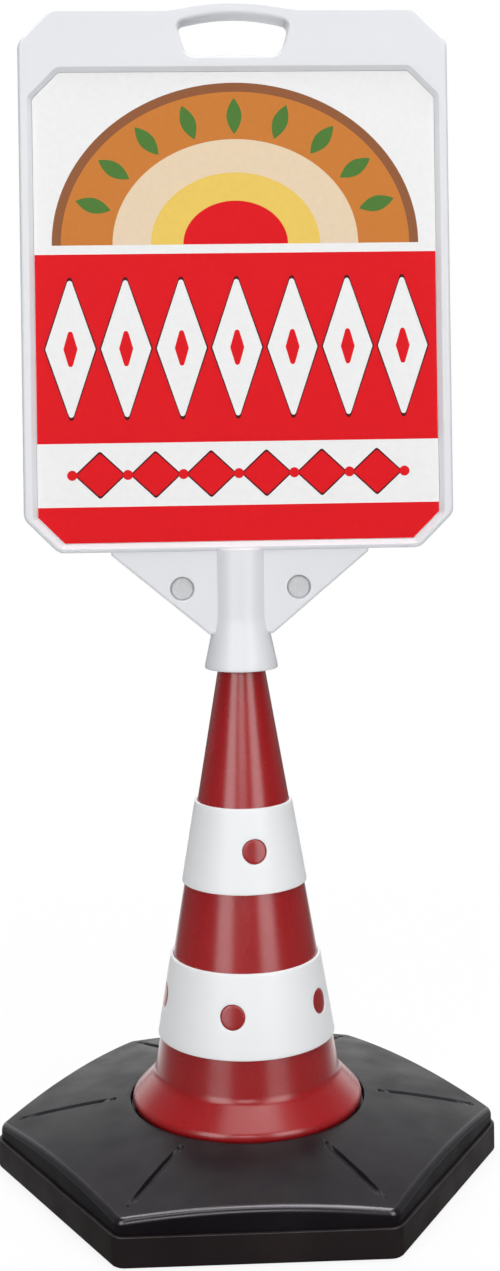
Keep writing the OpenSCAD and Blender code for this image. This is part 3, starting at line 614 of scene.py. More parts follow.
def grid_with_hole(skin, rings, rows, columns, centre, steps):
    """Bands of a grid of rings with a round hole in one block of it.

    A step on the way in and down is a radius and a height, or a function that gives the height.
    """
    for r, (a, b) in enumerate(zip(rings, rings[1:])):
        inside = rows[0] <= r < rows[1]
        skin.band(a, b, skip=range(*columns) if inside else ())
    last = loop = window(rings, rows, columns)
    for radius, height in steps:
        points = []
        for i in loop:
            way = Vector((skin.points[i][0] - centre[0], skin.points[i][1] - centre[1])).normalized() * radius
            x, y = centre[0] + way.x, centre[1] + way.y
            points.append((x, y, height(x, y) if callable(height) else height))
        ring = skin.ring(points)
        skin.band(last, ring)
        last = ring
    return last


def make_cover():
    skin = Skin()
    seat = [
        (4, SEAT_Z), (HUB_R - 4, SEAT_Z), (HUB_R - HUB_WALL, SEAT_Z + 1), (HUB_R - HUB_WALL, HUB_TOP - 0.8),
        (HUB_R - 2.2, HUB_TOP), (HUB_R - 0.8, HUB_TOP), (HUB_R, HUB_TOP - 0.8), (HUB_R, SEAT_Z + 1),
        (HUB_R + 1, SEAT_Z), (SEAT_R - 1, SEAT_Z), (SEAT_R, SEAT_Z + 1), (SEAT_R, dome(SEAT_R) - 1.5),
        (SEAT_R + 0.4, dome(SEAT_R) - 0.5),
    ]
    rings = [skin.ring([polar(r, a, z) for a in COLUMNS]) for r, z in seat]
    skin.bands(rings)
    skin.cap(rings[0])

    # Rows of the dome by their share of the way in from the lip; they crowd together at the grooves' ends
    rim = SEAT_R + 1.4
    edges = [hex_edge(COVER_APOTHEM - LIP, COVER_CORNER - LIP, a) for a in COLUMNS]
    parts = [1, 0.97, 0.94] + [0.91 - 0.0065 * i for i in range(14)]
    parts += [0.81 - 0.0375 * i for i in range(19)] + [0.10 - 0.0065 * i for i in range(15)] + [0]
    grid = []
    for part in parts:
        points = []
        for a, (edge, _) in zip(COLUMNS, edges):
            r = edge.length * (1 - part) + rim * part
            x, y = r * math.cos(a), r * math.sin(a)
            points.append((x, y, cover_top(x, y)))
        grid.append(skin.ring(points))
    skin.band(rings[-1], grid[0])

    # Well and bore of the fill plug, at the back
    well_in, well_out, well_turn = 0.81, 0.19, 10.5
    rows = (
        max(i for i, p in enumerate(parts) if p > well_in),
        min(i for i, p in enumerate(parts) if p < well_out),
    )
    places = [i for i, a in enumerate(COLUMNS) if abs(math.degrees(a) - 90) < well_turn]
    columns = (places[0], places[-1])
    centre = (0, PLUG_Y)
    bore = grid_with_hole(skin, grid, rows, columns, centre, [
        (WELL_R + 4.5, cover_top), (WELL_R + 0.9, cover_top),
        (WELL_R + 0.2, lambda x, y: cover_top(x, y) - 0.7), (WELL_R, PAD_Z + 0.6),
        (WELL_R - 0.6, PAD_Z), (FILL_R + 0.8, PAD_Z), (FILL_R, PAD_Z - 0.8),
        (FILL_R, PAD_Z - FILL_DEPTH)])

    # Lip, skirt inside the tray, and the underside
    lip = []
    for tilt in range(80, -1, -10):
        angle = math.radians(tilt)
        lip.append(skin.ring([
            (*(edge + normal * LIP * math.cos(angle)), dome(edge.length) - LIP + LIP * math.sin(angle))
            for edge, normal in edges]))
    skirt = (BASE_APOTHEM - BASE_WALL - SKIRT_GAP, BASE_CORNER - BASE_WALL - SKIRT_GAP)
    inner_a, inner_c = COVER_APOTHEM - BASE_WALL, COVER_CORNER - BASE_WALL
    lower = [
        skin.ring(hex_ring(COVER_APOTHEM, COVER_CORNER, TRAY_TOP + SEAM)),
        skin.ring(hex_ring(*skirt, TRAY_TOP + SEAM)),
        skin.ring(hex_ring(*skirt, TRAY_TOP - SKIRT_DROP)),
        skin.ring(hex_ring(inner_a, inner_c, TRAY_TOP - SKIRT_DROP)),
    ]
    bevel = 2
    under_edges = [hex_edge(inner_a - bevel, inner_c - bevel, a)[0] for a in COLUMNS]
    lower.append(skin.ring([
        (*hex_edge(inner_a, inner_c, a)[0], dome(edge.length) - BASE_WALL - bevel)
        for a, edge in zip(COLUMNS, under_edges)]))
    skin.bands([grid[-1]] + lip + lower)
    under = []
    for part in [0.08 * i for i in range(13)] + [1]:
        points = []
        for a, edge in zip(COLUMNS, under_edges):
            r = edge.length * (1 - part) + (SEAT_R + BASE_WALL) * part
            points.append(polar(r, a, dome(r) - BASE_WALL))
        under.append(skin.ring(points))
    skin.band(lower[-1], under[0])
    neck = grid_with_hole(skin, under, (1, 10), columns, centre, [
        (FILL_WALL_R + 2, cover_under), (FILL_WALL_R, cover_under), (FILL_WALL_R, PAD_Z - FILL_DEPTH)])
    skin.fill([neck, bore])
    floor = skin.ring([polar(SEAT_R + BASE_WALL, a, SEAT_Z - SEAT_FLOOR) for a in COLUMNS])
    skin.band(under[-1], floor)
    skin.cap(floor)
    piece("cover_shell", skin, "base", cover_look, ["base_cover"], sharp=40)


def make_tray():
    skin = Skin()
    turns = [math.radians(a) for a in range(0, 91, 15)]
    profile = [
        (TRAY_FOOT_R - TRAY_FOOT_R * math.sin(t), TRAY_FOOT_R - TRAY_FOOT_R * math.cos(t)) for t in turns]
    profile += [(0, TRAY_TOP - 1.2), (0.35, TRAY_TOP - 0.35), (1.2, TRAY_TOP), (BASE_WALL - 0.5, TRAY_TOP)]
    profile += [(BASE_WALL, TRAY_TOP - 0.5), (BASE_WALL, TRAY_FLOOR)]
    rings = [skin.ring(hex_ring(BASE_APOTHEM - inset, BASE_CORNER - inset, z)) for inset, z in profile]
    skin.bands(rings)

    def round_form(at, steps):
        """Round pocket or boss; its last ring is closed and its first one is given back."""
        loops = [skin.ring(circle(r, z, SCREW_SIDES, at)) for r, z in steps]
        skin.bands(loops)
        skin.cap(loops[-1])
        return loops[0]

    pockets, bosses = [], []
    for k in range(6):
        at = turned((SCREW_RING, 0), SIXTH * k)
        pockets.append(round_form(at, [
            (SCREW_POCKET_R + 0.5, 0), (SCREW_POCKET_R, 0.5), (SCREW_POCKET_R, SCREW_POCKET_DEPTH)]))
        bosses.append(round_form(at, [(SCREW_BOSS_R, TRAY_FLOOR), (SCREW_BOSS_R, SCREW_BOSS_TOP)]))
    skin.fill([rings[0]] + pockets)
    skin.fill([rings[-1]] + bosses)
    piece("tray_shell", skin, "base", tray_look, ["base_tray"], weighted=True)


def make_plug():
    skin = Skin()
    foot, cap_top = PAD_Z - PLUG_LENGTH, PAD_Z + PLUG_CAP
    centre = (0, PLUG_Y)
    profile = [
        (PLUG_HOLLOW_R, foot), (PLUG_R - 0.5, foot), (PLUG_R, foot + 0.6), (PLUG_R, PAD_Z),
        (PLUG_CAP_R - 0.8, PAD_Z), (PLUG_CAP_R, PAD_Z + 0.8), (PLUG_CAP_R - 0.4, PAD_Z + 2.6),
        (PLUG_CAP_R - 1.6, PAD_Z + 3.8), (PLUG_CAP_R - 3, cap_top), (4, cap_top),
    ]
    rings = [skin.ring(circle(r, z, PLUG_SIDES, centre)) for r, z in profile]
    skin.bands(rings)
    skin.cap(rings[-1])
    roof = skin.ring(circle(PLUG_HOLLOW_R, PAD_Z - 1, PLUG_SIDES, centre))
    skin.band(rings[0], roof)
    skin.cap(roof)
    w, h = PLUG_BAR
    bar = [(-w, -h), (w, -h), (w, h), (-w, h)]
    levels = [
        (0, cap_top - 0.5), (-0.8, cap_top), (0, cap_top + 0.8),
        (0, PLUG_TOP - 1.5), (0.5, PLUG_TOP - 0.5), (1.5, PLUG_TOP),
    ]
    loops = [
        skin.ring([(p.x, p.y + PLUG_Y, z) for p in outline(bar, [PLUG_BAR_CORNER] * 4, inset)])
        for inset, z in levels]
    skin.bands(loops)
    skin.cap(loops[0])
    skin.cap(loops[-1])
    piece("stopper", skin, "plug", rubber_look, ["fill_plug"])


# Cone and sleeves

def cone_r(z):
    return CONE_TOP_R + (SHOULDER_Z - z) * SLOPE


def make_cone():
    skin = Skin()
    centre = Vector((FOOT_R - FOOT_EDGE, SEAT_Z + FOOT_EDGE))
    edge_end = centre + FOOT_EDGE * Vector((math.cos(math.pi / 4), math.sin(math.pi / 4)))
    meet_z = (edge_end.x + edge_end.y - CONE_TOP_R - SHOULDER_Z * SLOPE) / (1 - SLOPE)
    meet = Vector((cone_r(meet_z), meet_z))
    shoulder = Vector((CONE_TOP_R, SHOULDER_Z))
    neck_foot = Vector((NECK_R, SHOULDER_Z))
    foot_turns = [math.radians(a) for a in range(-90, 46, 9)]
    profile = [centre + FOOT_EDGE * Vector((math.cos(t), math.sin(t))) for t in foot_turns]
    profile += corner_arc(edge_end, meet, shoulder, FLARE_FILLET, 10)
    low, high = profile[-1].y, SHOULDER_Z - 4
    profile += [Vector((cone_r(z), z)) for z in [low + (high - low) * k / 24 for k in range(1, 25)]]
    profile += corner_arc(meet, shoulder, neck_foot, SHOULDER_EDGE, 4)
    inside = CONE_WALL / math.cos(LEAN)
    collar = HUB_R + 0.3
    web = meet_z - 1
    bore, bore_r, neck_inner = NECK_TOP - 12, 3, NECK_R - NECK_WALL
    profile += [Vector(p) for p in [
        (NECK_R, SHOULDER_Z), (NECK_R, NECK_TOP - 1), (NECK_R - 1, NECK_TOP), (bore_r, NECK_TOP),
        (bore_r, bore), (neck_inner, bore), (neck_inner, SHOULDER_Z),
        (cone_r(SHOULDER_Z - 8) - inside, SHOULDER_Z - 8), (cone_r(web + 3) - inside, web + 3),
        (collar, web + 3), (collar, SEAT_Z + 3), (collar + 1.5, SEAT_Z + 1), (collar + 3.2, SEAT_Z + 1),
        (collar + 3.2, web), (cone_r(web) - 6, web),
        (centre.x - 3, centre.y + FOOT_EDGE - 1), (centre.x - 3, SEAT_Z)]]
    rings = [skin.ring(circle(r, z, CONE_SIDES)) for r, z in profile]
    skin.bands(rings + rings[:1])
    piece("cone_body", skin, "cone", cone_look, ["cone"], sharp=30)


def cone_point(angle, z, height):
    return polar(cone_r(z) + height, angle, z)


def on_side(angle, z, aside, up, height):
    """Point on the cone's side, a little aside of a place and up from it, and so high above the side."""
    out = Vector((math.cos(angle), math.sin(angle)))
    across = Vector((-out.y, out.x))
    flat = out * (cone_r(z) - up * math.sin(LEAN)) + across * aside
    return cone_point(math.atan2(flat.y, flat.x), z + up * math.cos(LEAN), height)


def make_buttons(name, z, count, start):
    skin = Skin()
    top = SLEEVE_GAP + SLEEVE_WALL - BUTTON_SUNK
    steps = [
        (2.5, top), (5, top), (7.5, top), (9.5, top), (BUTTON_R - 1.1, top - 0.06),
        (BUTTON_R - 0.5, top - 0.25), (BUTTON_R - 0.1, top - 0.7), (BUTTON_R, top - 1.3), (BUTTON_R, -1),
    ]
    for k in range(count):
        angle = math.radians(start + 360 * k / count)
        rings = [
            skin.ring([on_side(angle, z, *p) for p in circle(r, height, BUTTON_SIDES)])
            for r, height in steps]
        skin.bands(rings)
        skin.cap(rings[0])
        skin.cap(rings[-1])
    piece(name, skin, "cone", cone_look)


def make_sleeve(name, node, z, height, count, start):
    """Conical band in one cell per button, each with a round hole, closed all round."""
    skin = Skin()
    middle = z + height / 2
    half = math.pi / count
    across = max(24, round(math.degrees(2 * half) / 1.8))
    upright, inward = 20, 14
    low, high = SLEEVE_GAP, SLEEVE_GAP + SLEEVE_WALL

    def hole_point(angle, turn, h, radius, level):
        """Point so far from the hole's middle, on the way to a place on the cone's side."""
        way = Vector((turn * cone_r(middle), (h - middle) / math.cos(LEAN))).normalized() * radius
        return on_side(angle, middle, way.x, way.y, level)

    def turn_of(point, angle):
        return math.remainder(math.atan2(point[1], point[0]) - angle, 2 * math.pi)

    def cell(angle, inset, radius, level):
        """Rings of one cell from its border in to the hole."""
        bottom, top = z + inset, z + height - inset
        border = [(-half + 2 * half * i / across, bottom) for i in range(across)]
        border += [(half, bottom + (top - bottom) * i / upright) for i in range(upright)]
        border += [(half - 2 * half * i / across, top) for i in range(across)]
        border += [(-half, top - (top - bottom) * i / upright) for i in range(upright)]
        rings = [[] for _ in range(inward + 1)]
        for turn, h in border:
            hole = hole_point(angle, turn, h, radius, level)
            hole_turn = turn_of(hole, angle)
            for k in range(inward + 1):
                part = k / inward
                rings[k].append(cone_point(
                    angle + turn * (1 - part) + hole_turn * part, h * (1 - part) + hole[2] * part, level))
        return [skin.ring(points) for points in rings]

    def rim(angle, loop, radius, level):
        """Ring round the hole, point by point in step with a loop."""
        points = [skin.points[i] for i in loop]
        return skin.ring([hole_point(angle, turn_of(p, angle), p[2], radius, level) for p in points])

    for k in range(count):
        angle = math.radians(start) + 2 * half * k
        outer = cell(angle, SLEEVE_EDGE, SLEEVE_HOLE_R + 0.6, high)
        inner = cell(angle, 0.0, SLEEVE_HOLE_R, low)
        skin.bands(outer)
        skin.bands(inner)
        skin.bands([
            outer[-1], rim(angle, outer[-1], SLEEVE_HOLE_R + 0.18, high - 0.18),
            rim(angle, outer[-1], SLEEVE_HOLE_R, high - 0.6), inner[-1]])
        for first, edge_z, side in [(0, z, -1), (across + upright, z + height, 1)]:
            span = range(first, first + across + 1)
            turns = [math.atan2(skin.points[outer[0][i]][1], skin.points[outer[0][i]][0]) for i in span]
            skin.bands([
                [outer[0][i] for i in span],
                skin.ring([cone_point(t, edge_z - side * 0.2, high - 0.2) for t in turns]),
                skin.ring([cone_point(t, edge_z, high - SLEEVE_EDGE) for t in turns]),
                [inner[0][i] for i in span],
            ], closed=False)
    piece(name, skin, "cone", sleeve_look, [node], sharp=40)


# Sign head: outlines are of X and Z

def mirrored(points):
    return [(-x, z) for x, z in reversed(points)]


def plate_outline(inset):
    w, cut = SIGN_HALF_W, PLATE_CUT
    right = [
        (w - cut, SIGN_BOTTOM), (w, SIGN_BOTTOM + cut), (w, SIGN_TOP - cut), (w - cut, SIGN_TOP),
        (ARCH_X, SIGN_TOP)]
    corners = [PLATE_CORNER] * 4
    return outline(
        right + [(0, SIGN_TOP + ARCH_RISE)] + mirrored(right), corners + [60, 240, 60] + corners, inset)


def print_outline(grow=0.0):
    w, cut = PRINT_W + grow, PRINT_CUT + grow * CUT_PER_INSET
    low, high = PRINT_LOW - grow, PRINT_HIGH + grow
    right = [(w - cut, low), (w, low + cut), (w, high - cut), (w - cut, high)]
    return outline(right + mirrored(right), [4 + max(0.0, grow)] * 8, 0, 5)


def hole_outline(grow):
    right = [(HOLE_LOW_W, HOLE_TOP - HOLE_HEIGHT), (HOLE_HIGH_W, HOLE_TOP - HOLE_RISE)]
    corners = right + [(0, HOLE_TOP + HOLE_RISE)] + mirrored(right)
    return outline(corners, [14, 7, 200, 7, 14], -grow)


def gusset_outline(inset):
    right = [(TUBE_R + 5, TUBE_FOOT + 4), (GUSSET_W, SIGN_BOTTOM - 2), (GUSSET_W - 6, SIGN_BOTTOM + 9)]
    return outline(right + mirrored(right), [1.5, 4, 1.5, 1.5, 4, 1.5], inset)


def make_shell(name, node, facing):
    """One half of the head; facing is 1 for the half that looks along -Y and -1 for the one behind."""
    skin = Skin()
    front_axes = (0, 2)

    def face(points, depth):
        return skin.ring([(facing * p[0], -facing * depth, p[1]) for p in points])

    def rounded_side(shape, depth, radius):
        """Rings from the parting line up to a face with a rounded edge."""
        rings = [face(shape(0.55), 0.02), face(shape(0.0), 0.6)]
        for a in range(0, 91, 15):
            turn = math.radians(a)
            rings.append(face(shape(radius * (1 - math.cos(turn))), depth - radius * (1 - math.sin(turn))))
        skin.bands(rings)
        return rings

    plate = rounded_side(plate_outline, HALF_DEPTH, PLATE_EDGE)
    hole = rounded_side(hole_outline, HALF_DEPTH, HOLE_EDGE)
    recess = [face(print_outline(grow), depth) for grow, depth in [
        (5.2, HALF_DEPTH), (4.5, HALF_DEPTH - 0.3), (4.1, HALF_DEPTH - 0.8), (0.6, PRINT_FRONT + 0.3),
        (0.35, PRINT_FRONT - 0.3), (0.35, PANEL)]]
    skin.bands(recess)
    skin.fill([plate[-1], hole[-1], recess[0]], front_axes)
    skin.cap(recess[-1])
    skin.fill([plate[0], hole[0]], front_axes)

    # Gusset, with pockets that close in on the bolt heads
    gusset = rounded_side(gusset_outline, GUSSET, GUSSET_EDGE)
    pockets = []
    for x in (-BOLT_X, BOLT_X):
        rings = [face(circle(r, 0, BOLT_SIDES, (x, BOLT_Z)), depth) for r, depth in [
            (BOLT_POCKET_R + 1, GUSSET), (BOLT_POCKET_R + 0.3, GUSSET - 0.25), (BOLT_POCKET_R, GUSSET - 0.9),
            (BOLT_HEAD_R + 0.4, 11), (BOLT_HEAD_R, 10), (BOLT_HEAD_R, 7)]]
        skin.bands(rings)
        skin.cap(rings[-1])
        pockets.append(rings[0])
    skin.fill([gusset[-1]] + pockets, front_axes)
    skin.cap(gusset[0])

    # Half of the flared tube, with slots for the bush's keys at its two ends
    outside = [
        (MOUTH_R - 1.2, MOUTH_Z), (MOUTH_R - 0.3, MOUTH_Z + 0.4), (MOUTH_R, MOUTH_Z + 1.4),
        (MOUTH_R - 0.3, MOUTH_Z + 4), (MOUTH_R - 2.1, MOUTH_Z + 12), (MOUTH_R - 4.0, MOUTH_Z + 21),
        (FLARE_TOP_R + 0.35, TUBE_FOOT - 2), (FLARE_TOP_R - 0.35, TUBE_FOOT + 2),
        (TUBE_R + 0.5, TUBE_FOOT + FLARE_BLEND - 3), (TUBE_R, TUBE_FOOT + FLARE_BLEND + 3),
        (TUBE_R, SIGN_BOTTOM - 14), (TUBE_R, SIGN_BOTTOM + 1), (TUBE_R - 2, SIGN_BOTTOM + 3),
        (TUBE_CORE_R, SIGN_BOTTOM + 3), (TUBE_CORE_R, SOCKET_TOP),
    ]
    inside = [
        (SOCKET_R, SOCKET_TOP), (SOCKET_R, TUBE_FOOT - 2), (MOUTH_R - 3.4, MOUTH_Z + 4),
        (MOUTH_R - 3, MOUTH_Z + 0.6), (MOUTH_R - 2.4, MOUTH_Z),
    ]
    slot_turn = math.asin(KEY_HALF / SOCKET_R)
    wall_turn = slot_turn + KEY_EDGE
    wall_steps = 72
    turns = [0, slot_turn]
    turns += [wall_turn + (math.pi - 2 * wall_turn) * i / wall_steps for i in range(wall_steps + 1)]
    turns += [math.pi - slot_turn, math.pi]

    def arc(r, z, keyed):
        points = []
        for k, t in enumerate(turns):
            in_slot = keyed and (k < 2 or k > len(turns) - 3)
            reach = max(r, SOCKET_R + KEY_DEPTH) if in_slot else r
            points.append((-facing * reach * math.cos(t), -facing * reach * math.sin(t), z))
        return skin.ring(points)

    tube = [arc(r, z, False) for r, z in outside] + [arc(r, z, True) for r, z in inside]
    skin.bands(tube + tube[:1], closed=False)
    piece(name, skin, "head", shell_look, [node], weighted=True)


# Print: bands of colour with plain figures, each a thin layer of film on the board

FILM = 0.07
FILM_STEP = 0.03
FILM_BACK = PRINT_FRONT - 0.14
FOOT_BAND_TOP = PRINT_LOW + 36
ROW_Z = PRINT_LOW + 67.5
BAND_LOW = PRINT_LOW + 99
BAND_HIGH = PRINT_LOW + 286
BAND_MIDDLE = (BAND_LOW + BAND_HIGH) / 2
SUN_Z = BAND_HIGH + 9
RHOMB_PITCH = 55
TALL_X = [-165 + RHOMB_PITCH * k for k in range(7)]
SMALL_X = [-137.5 + RHOMB_PITCH * k for k in range(6)]
TALL_RIM, TALL_RHOMB, TALL_CORE = (26.3, 76), (24.8, 73), (7, 24)
SMALL_RIM, SMALL_RHOMB = (25.5, 24), (23.6, 21.8)
DOT = (5, 5)
SUN_RINGS = [(182, 160), (173, 151), (122, 104), (84, 71), (52, 43), None]
LEAF_REACH = (148, 127)
LEAF_SIZE = (36, 15)


def make_board(name, node, facing):
    skin = Skin()
    levels = [(0.3, PANEL + 0.05), (0, PANEL + 0.4), (0, PRINT_FRONT - 0.35), (0.3, PRINT_FRONT - 0.1)]
    rings = [
        skin.ring([(facing * p.x, -facing * depth, p.y) for p in print_outline(-inset)])
        for inset, depth in levels]
    skin.bands(rings)
    skin.cap(rings[0])
    skin.cap(rings[-1])
    piece(name, skin, "head", paper_look, [node], weighted=True)


def make_film(name, facing, look, shapes, level):
    """Thin printed layer of outlines; a higher level lies over a lower one."""
    skin = Skin()
    low = FILM_BACK + FILM_STEP * level
    for shape in shapes:
        front = skin.ring([(facing * p[0], -facing * (low + FILM), p[1]) for p in shape])
        back = skin.ring([(facing * p[0], -facing * low, p[1]) for p in shape])
        skin.band(back, front)
        skin.fill([front], (0, 2))
        skin.fill([back], (0, 2))
    piece(name, skin, "head", look)


def fan(x, z, outer, inner=None, end=180):
    """Part of an oval ring or disc; outer and inner are its half width and half height."""
    count = round(end / 2.5)
    turns = [math.radians(end * i / count) for i in range(count + 1)]
    far = [(x + outer[0] * math.cos(t), z + outer[1] * math.sin(t)) for t in turns]
    if inner is None:
        return far if end < 360 else far[:-1]
    return far + [(x + inner[0] * math.cos(t), z + inner[1] * math.sin(t)) for t in reversed(turns)]


def rhomb(x, z, half_w, half_h):
    corners = [(x, z - half_h), (x + half_w, z), (x, z + half_h), (x - half_w, z)]
    return [tuple(p) for p in outline(corners, [2.5] * 4, 0, 4)]


def leaf(x, z, tilt):
    """Pointed oval, with its long way tilted from upright."""
    length, width = LEAF_SIZE
    steps = 16
    rim = []
    for i in range(steps + 1):
        half_width = width / 2 * math.sin(math.pi * i / steps) ** 0.9 if 0 < i < steps else 0.0
        rim.append((half_width, -length / 2 + length * i / steps))
    shape = rim + [(-a, b) for a, b in reversed(rim[1:-1])]
    return [(x + turned(p, tilt).x, z + turned(p, tilt).y) for p in shape]


def make_print(side, facing):
    """Stripes as on the real print, with a sunrise, rhombs and dots where its picture and words are."""
    w, low, cut = PRINT_W - 0.4, PRINT_LOW + 0.4, PRINT_CUT
    bottom = [
        (w - cut, low), (w, low + cut), (w, FOOT_BAND_TOP),
        (-w, FOOT_BAND_TOP), (-w, low + cut), (cut - w, low)]
    band = [(w, BAND_LOW), (w, BAND_HIGH), (-w, BAND_HIGH), (-w, BAND_LOW)]
    make_film(f"{side}_red_bands", facing, red_look, [bottom, band], 1)
    make_film(
        f"{side}_dark_rims", facing, dark_look,
        [rhomb(x, BAND_MIDDLE, *TALL_RIM) for x in TALL_X]
        + [rhomb(x, ROW_Z, *SMALL_RIM) for x in SMALL_X], 2)
    make_film(
        f"{side}_white_rhombs", facing, paper_look, [rhomb(x, BAND_MIDDLE, *TALL_RHOMB) for x in TALL_X], 3)
    make_film(
        f"{side}_red_rhombs", facing, red_look,
        [rhomb(x, BAND_MIDDLE, *TALL_CORE) for x in TALL_X]
        + [rhomb(x, ROW_Z, *SMALL_RHOMB) for x in SMALL_X]
        + [fan(x, ROW_Z, DOT, end=360) for x in TALL_X], 4)
    sun = [
        ("brown_rim", brown_look), ("orange_ring", orange_look), ("cream_ring", cream_look),
        ("yellow_ring", yellow_look), ("red_core", red_look),
    ]
    for (name, look), outer, inner in zip(sun, SUN_RINGS, SUN_RINGS[1:]):
        make_film(f"{side}_{name}", facing, look, [fan(0, SUN_Z, outer, inner)], 1)
    leaves = []
    for turn in [math.radians(a) for a in range(18, 180, 18)]:
        x, z = LEAF_REACH[0] * math.cos(turn), LEAF_REACH[1] * math.sin(turn)
        leaves.append(leaf(x, SUN_Z + z, math.atan2(z, x) - math.pi / 2))
    make_film(f"{side}_green_leaves", facing, green_look, leaves, 2)


make_cover()
make_tray()
make_plug()
make_cone()
for name, (_, low, height, count, start) in SLEEVES.items():
    make_buttons(f"{name}_buttons", low + height / 2, count, start)
for name, (node, *sizes) in SLEEVES.items():
    make_sleeve(f"{name}_band", node, *sizes)
for side, facing in (("front", 1), ("rear", -1)):
    make_shell(f"{side}_half", f"{side}_shell", facing)
for side, facing in (("front", 1), ("rear", -1)):
    make_board(f"{side}_board", f"{side}_print", facing)
for side, facing in (("front", 1), ("rear", -1)):
    make_print(side, facing)

for node, look in {
    "sand_ballast": sand_look, "tray_screws": zinc_look, "neck_washer": zinc_look, "neck_screw": zinc_look,
    "swivel_bush": bush_look, "clamp_bolts": bolt_look, "clamp_nuts": bolt_look,
}.items():
    nodes[node].data.materials.clear()
    nodes[node].data.materials.append(look)


# Floor, light and camera, in metres

FLOOR_R = 40
FLOOR_Z = -0.0004
FLOOR_SIDES = 96
WHITE = (1, 1, 1, 1)
# Name, place, target, width and height, and power in watts
LAMPS = [
    ("left_box", (-1.44, -1.98, 1.05), (0, 0, 0.6), (1.2, 2.0), 23),
    ("right_box", (1.44, -1.98, 1.05), (0, 0, 0.6), (1.2, 2.0), 22),
    ("front_box", (-0.15, -2.35, 1.02), (0, 0, 0.8), (0.9, 0.8), 6.5),
    ("high_box", (0.1, -1.25, 2.45), (0, 0, 0.1), (2.2, 0.9), 10.5),
    ("top_box", (0.15, 0.3, 2.8), (0, 0.1, 0), (2.4, 1.6), 68),
]
# The photo's height, its focal length and its horizon in pixels, and where the camera stands
PHOTO_H = 1271
FOCAL_LENGTH = 1704
HORIZON = 410
SENSOR = 36
CAMERA_TURN = math.radians(-2.5)
CAMERA_ROLL = math.radians(0.82)
CAMERA_PLACE = (0.0123, -1.704)
CAMERA_HEIGHT = 0.747


def make_floor():
    """White paper that keeps the object's shadow; beside it a gloss shows a dim studio floor."""
    mesh = bpy.data.meshes.new("floor")
    mesh.from_pydata(circle(FLOOR_R, FLOOR_Z, FLOOR_SIDES), [], [tuple(range(FLOOR_SIDES))])
    floor = bpy.data.objects.new("floor", mesh)
    bpy.context.scene.collection.objects.link(floor)
    look = bpy.data.materials.new("floor_white")
    look.use_nodes = True
    tree = look.node_tree
    tree.nodes.clear()
    place = object_place(tree)
    x, y, _ = split_xyz(tree, place)
    aside = calc(tree, "ABSOLUTE", x)

    def on_paper(front, back, inner, outer):
        """1 on the paper, and 0 in front of it and beside it."""
        behind_edge = spread_to(tree, y, 0.0, 1.0, front, back)
        between_edges = spread_to(tree, aside, 1.0, 0.0, inner, outer)
        return calc(tree, "MULTIPLY", behind_edge, between_edges)

    path = tree.nodes.new("ShaderNodeLightPath").outputs
    mirror = mirror_rays(tree, path)
    matt = tree.nodes.new("ShaderNodeBsdfDiffuse")
    shades = [(0.0, (0.10, 0.10, 0.10)), (1.0, (0.86, 0.86, 0.86))]
    tree.links.new(ramp(tree, on_paper(-0.9, -0.35, 0.6, 1.1), shades), matt.inputs["Color"])
    white = tree.nodes.new("ShaderNodeEmission")
    in_gloss = spread_to(tree, on_paper(-0.3, 0.3, 0.25, 0.6), 0.12, 1.0, 0.0, 1.0)
    tree.links.new(
        calc(tree, "MULTIPLY_ADD", mirror, in_gloss, path["Is Camera Ray"]), white.inputs["Strength"])
    fade = spread_to(tree, vector_calc(tree, "LENGTH", place), 0.88, 1.0, 0.3, 1.2)
    amount = calc(tree, "MULTIPLY_ADD", path["Is Camera Ray"], fade, mirror, clamp=True)
    join_shaders(tree, amount, matt, white, "ShaderNodeOutputMaterial")
    mesh.materials.append(look)


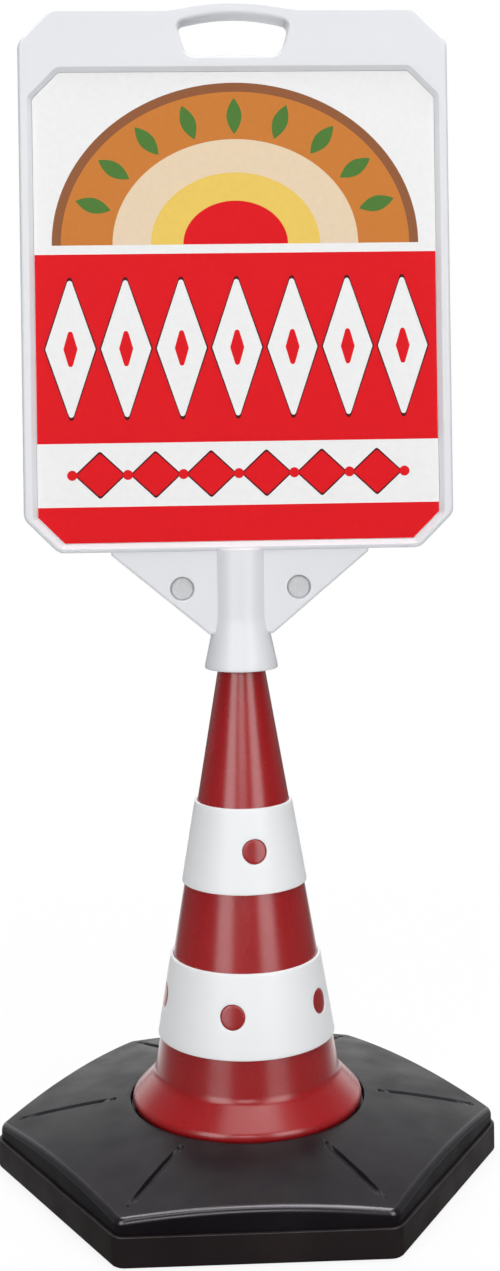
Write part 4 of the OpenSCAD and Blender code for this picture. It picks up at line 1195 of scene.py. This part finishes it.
def make_world():
    """White where it is seen, and where a gloss shows what is behind the object; else a dim room."""
    world = bpy.data.worlds.new("studio")
    bpy.context.scene.world = world
    world.use_nodes = True
    tree = world.node_tree
    tree.nodes.clear()
    y = split_xyz(tree, tree.nodes.new("ShaderNodeTexCoord").outputs["Generated"])["Y"]
    shades = [
        (0.0, (0.05, 0.05, 0.052)), (0.5, (0.07, 0.07, 0.072)), (0.78, (0.25, 0.25, 0.255)),
        (1.0, (0.8, 0.8, 0.8)),
    ]
    room = tree.nodes.new("ShaderNodeBackground")
    tree.links.new(ramp(tree, spread_to(tree, y, 0.0, 1.0, -1.0, 1.0), shades), room.inputs["Color"])
    white = tree.nodes.new("ShaderNodeBackground")
    white.inputs["Color"].default_value = WHITE
    path = tree.nodes.new("ShaderNodeLightPath").outputs
    behind = spread_to(tree, y, 0.0, 1.0, 0.55, 0.92)
    seen = calc(tree, "MULTIPLY_ADD", mirror_rays(tree, path), behind, path["Is Camera Ray"], clamp=True)
    join_shaders(tree, seen, room, white, "ShaderNodeOutputWorld")


def make_lamp(name, place, target, size, power):
    lamp = bpy.data.lights.new(name, "AREA")
    lamp.shape = "RECTANGLE"
    lamp.size, lamp.size_y = size
    lamp.energy = power
    obj = bpy.data.objects.new(name, lamp)
    bpy.context.scene.collection.objects.link(obj)
    obj.location = place
    obj.rotation_mode = "QUATERNION"
    obj.rotation_quaternion = (Vector(target) - Vector(place)).to_track_quat("-Z", "Y")


def make_camera():
    """As in the photo: level, a little to the left of the sign's front, its frame shifted, a slight roll."""
    eye = bpy.data.cameras.new("eye")
    eye.sensor_fit = "AUTO"
    eye.sensor_width = SENSOR
    eye.lens = SENSOR * FOCAL_LENGTH / PHOTO_H
    eye.shift_y = -(PHOTO_H / 2 - HORIZON) / PHOTO_H
    camera = bpy.data.objects.new("eye", eye)
    bpy.context.scene.collection.objects.link(camera)
    camera.location = (*turned(CAMERA_PLACE, CAMERA_TURN), CAMERA_HEIGHT)
    camera.rotation_euler = (math.radians(90), CAMERA_ROLL, CAMERA_TURN)
    bpy.context.scene.camera = camera


make_floor()
make_world()
for lamp in LAMPS:
    make_lamp(*lamp)
make_camera()
bpy.context.scene.view_settings.view_transform = "Standard"
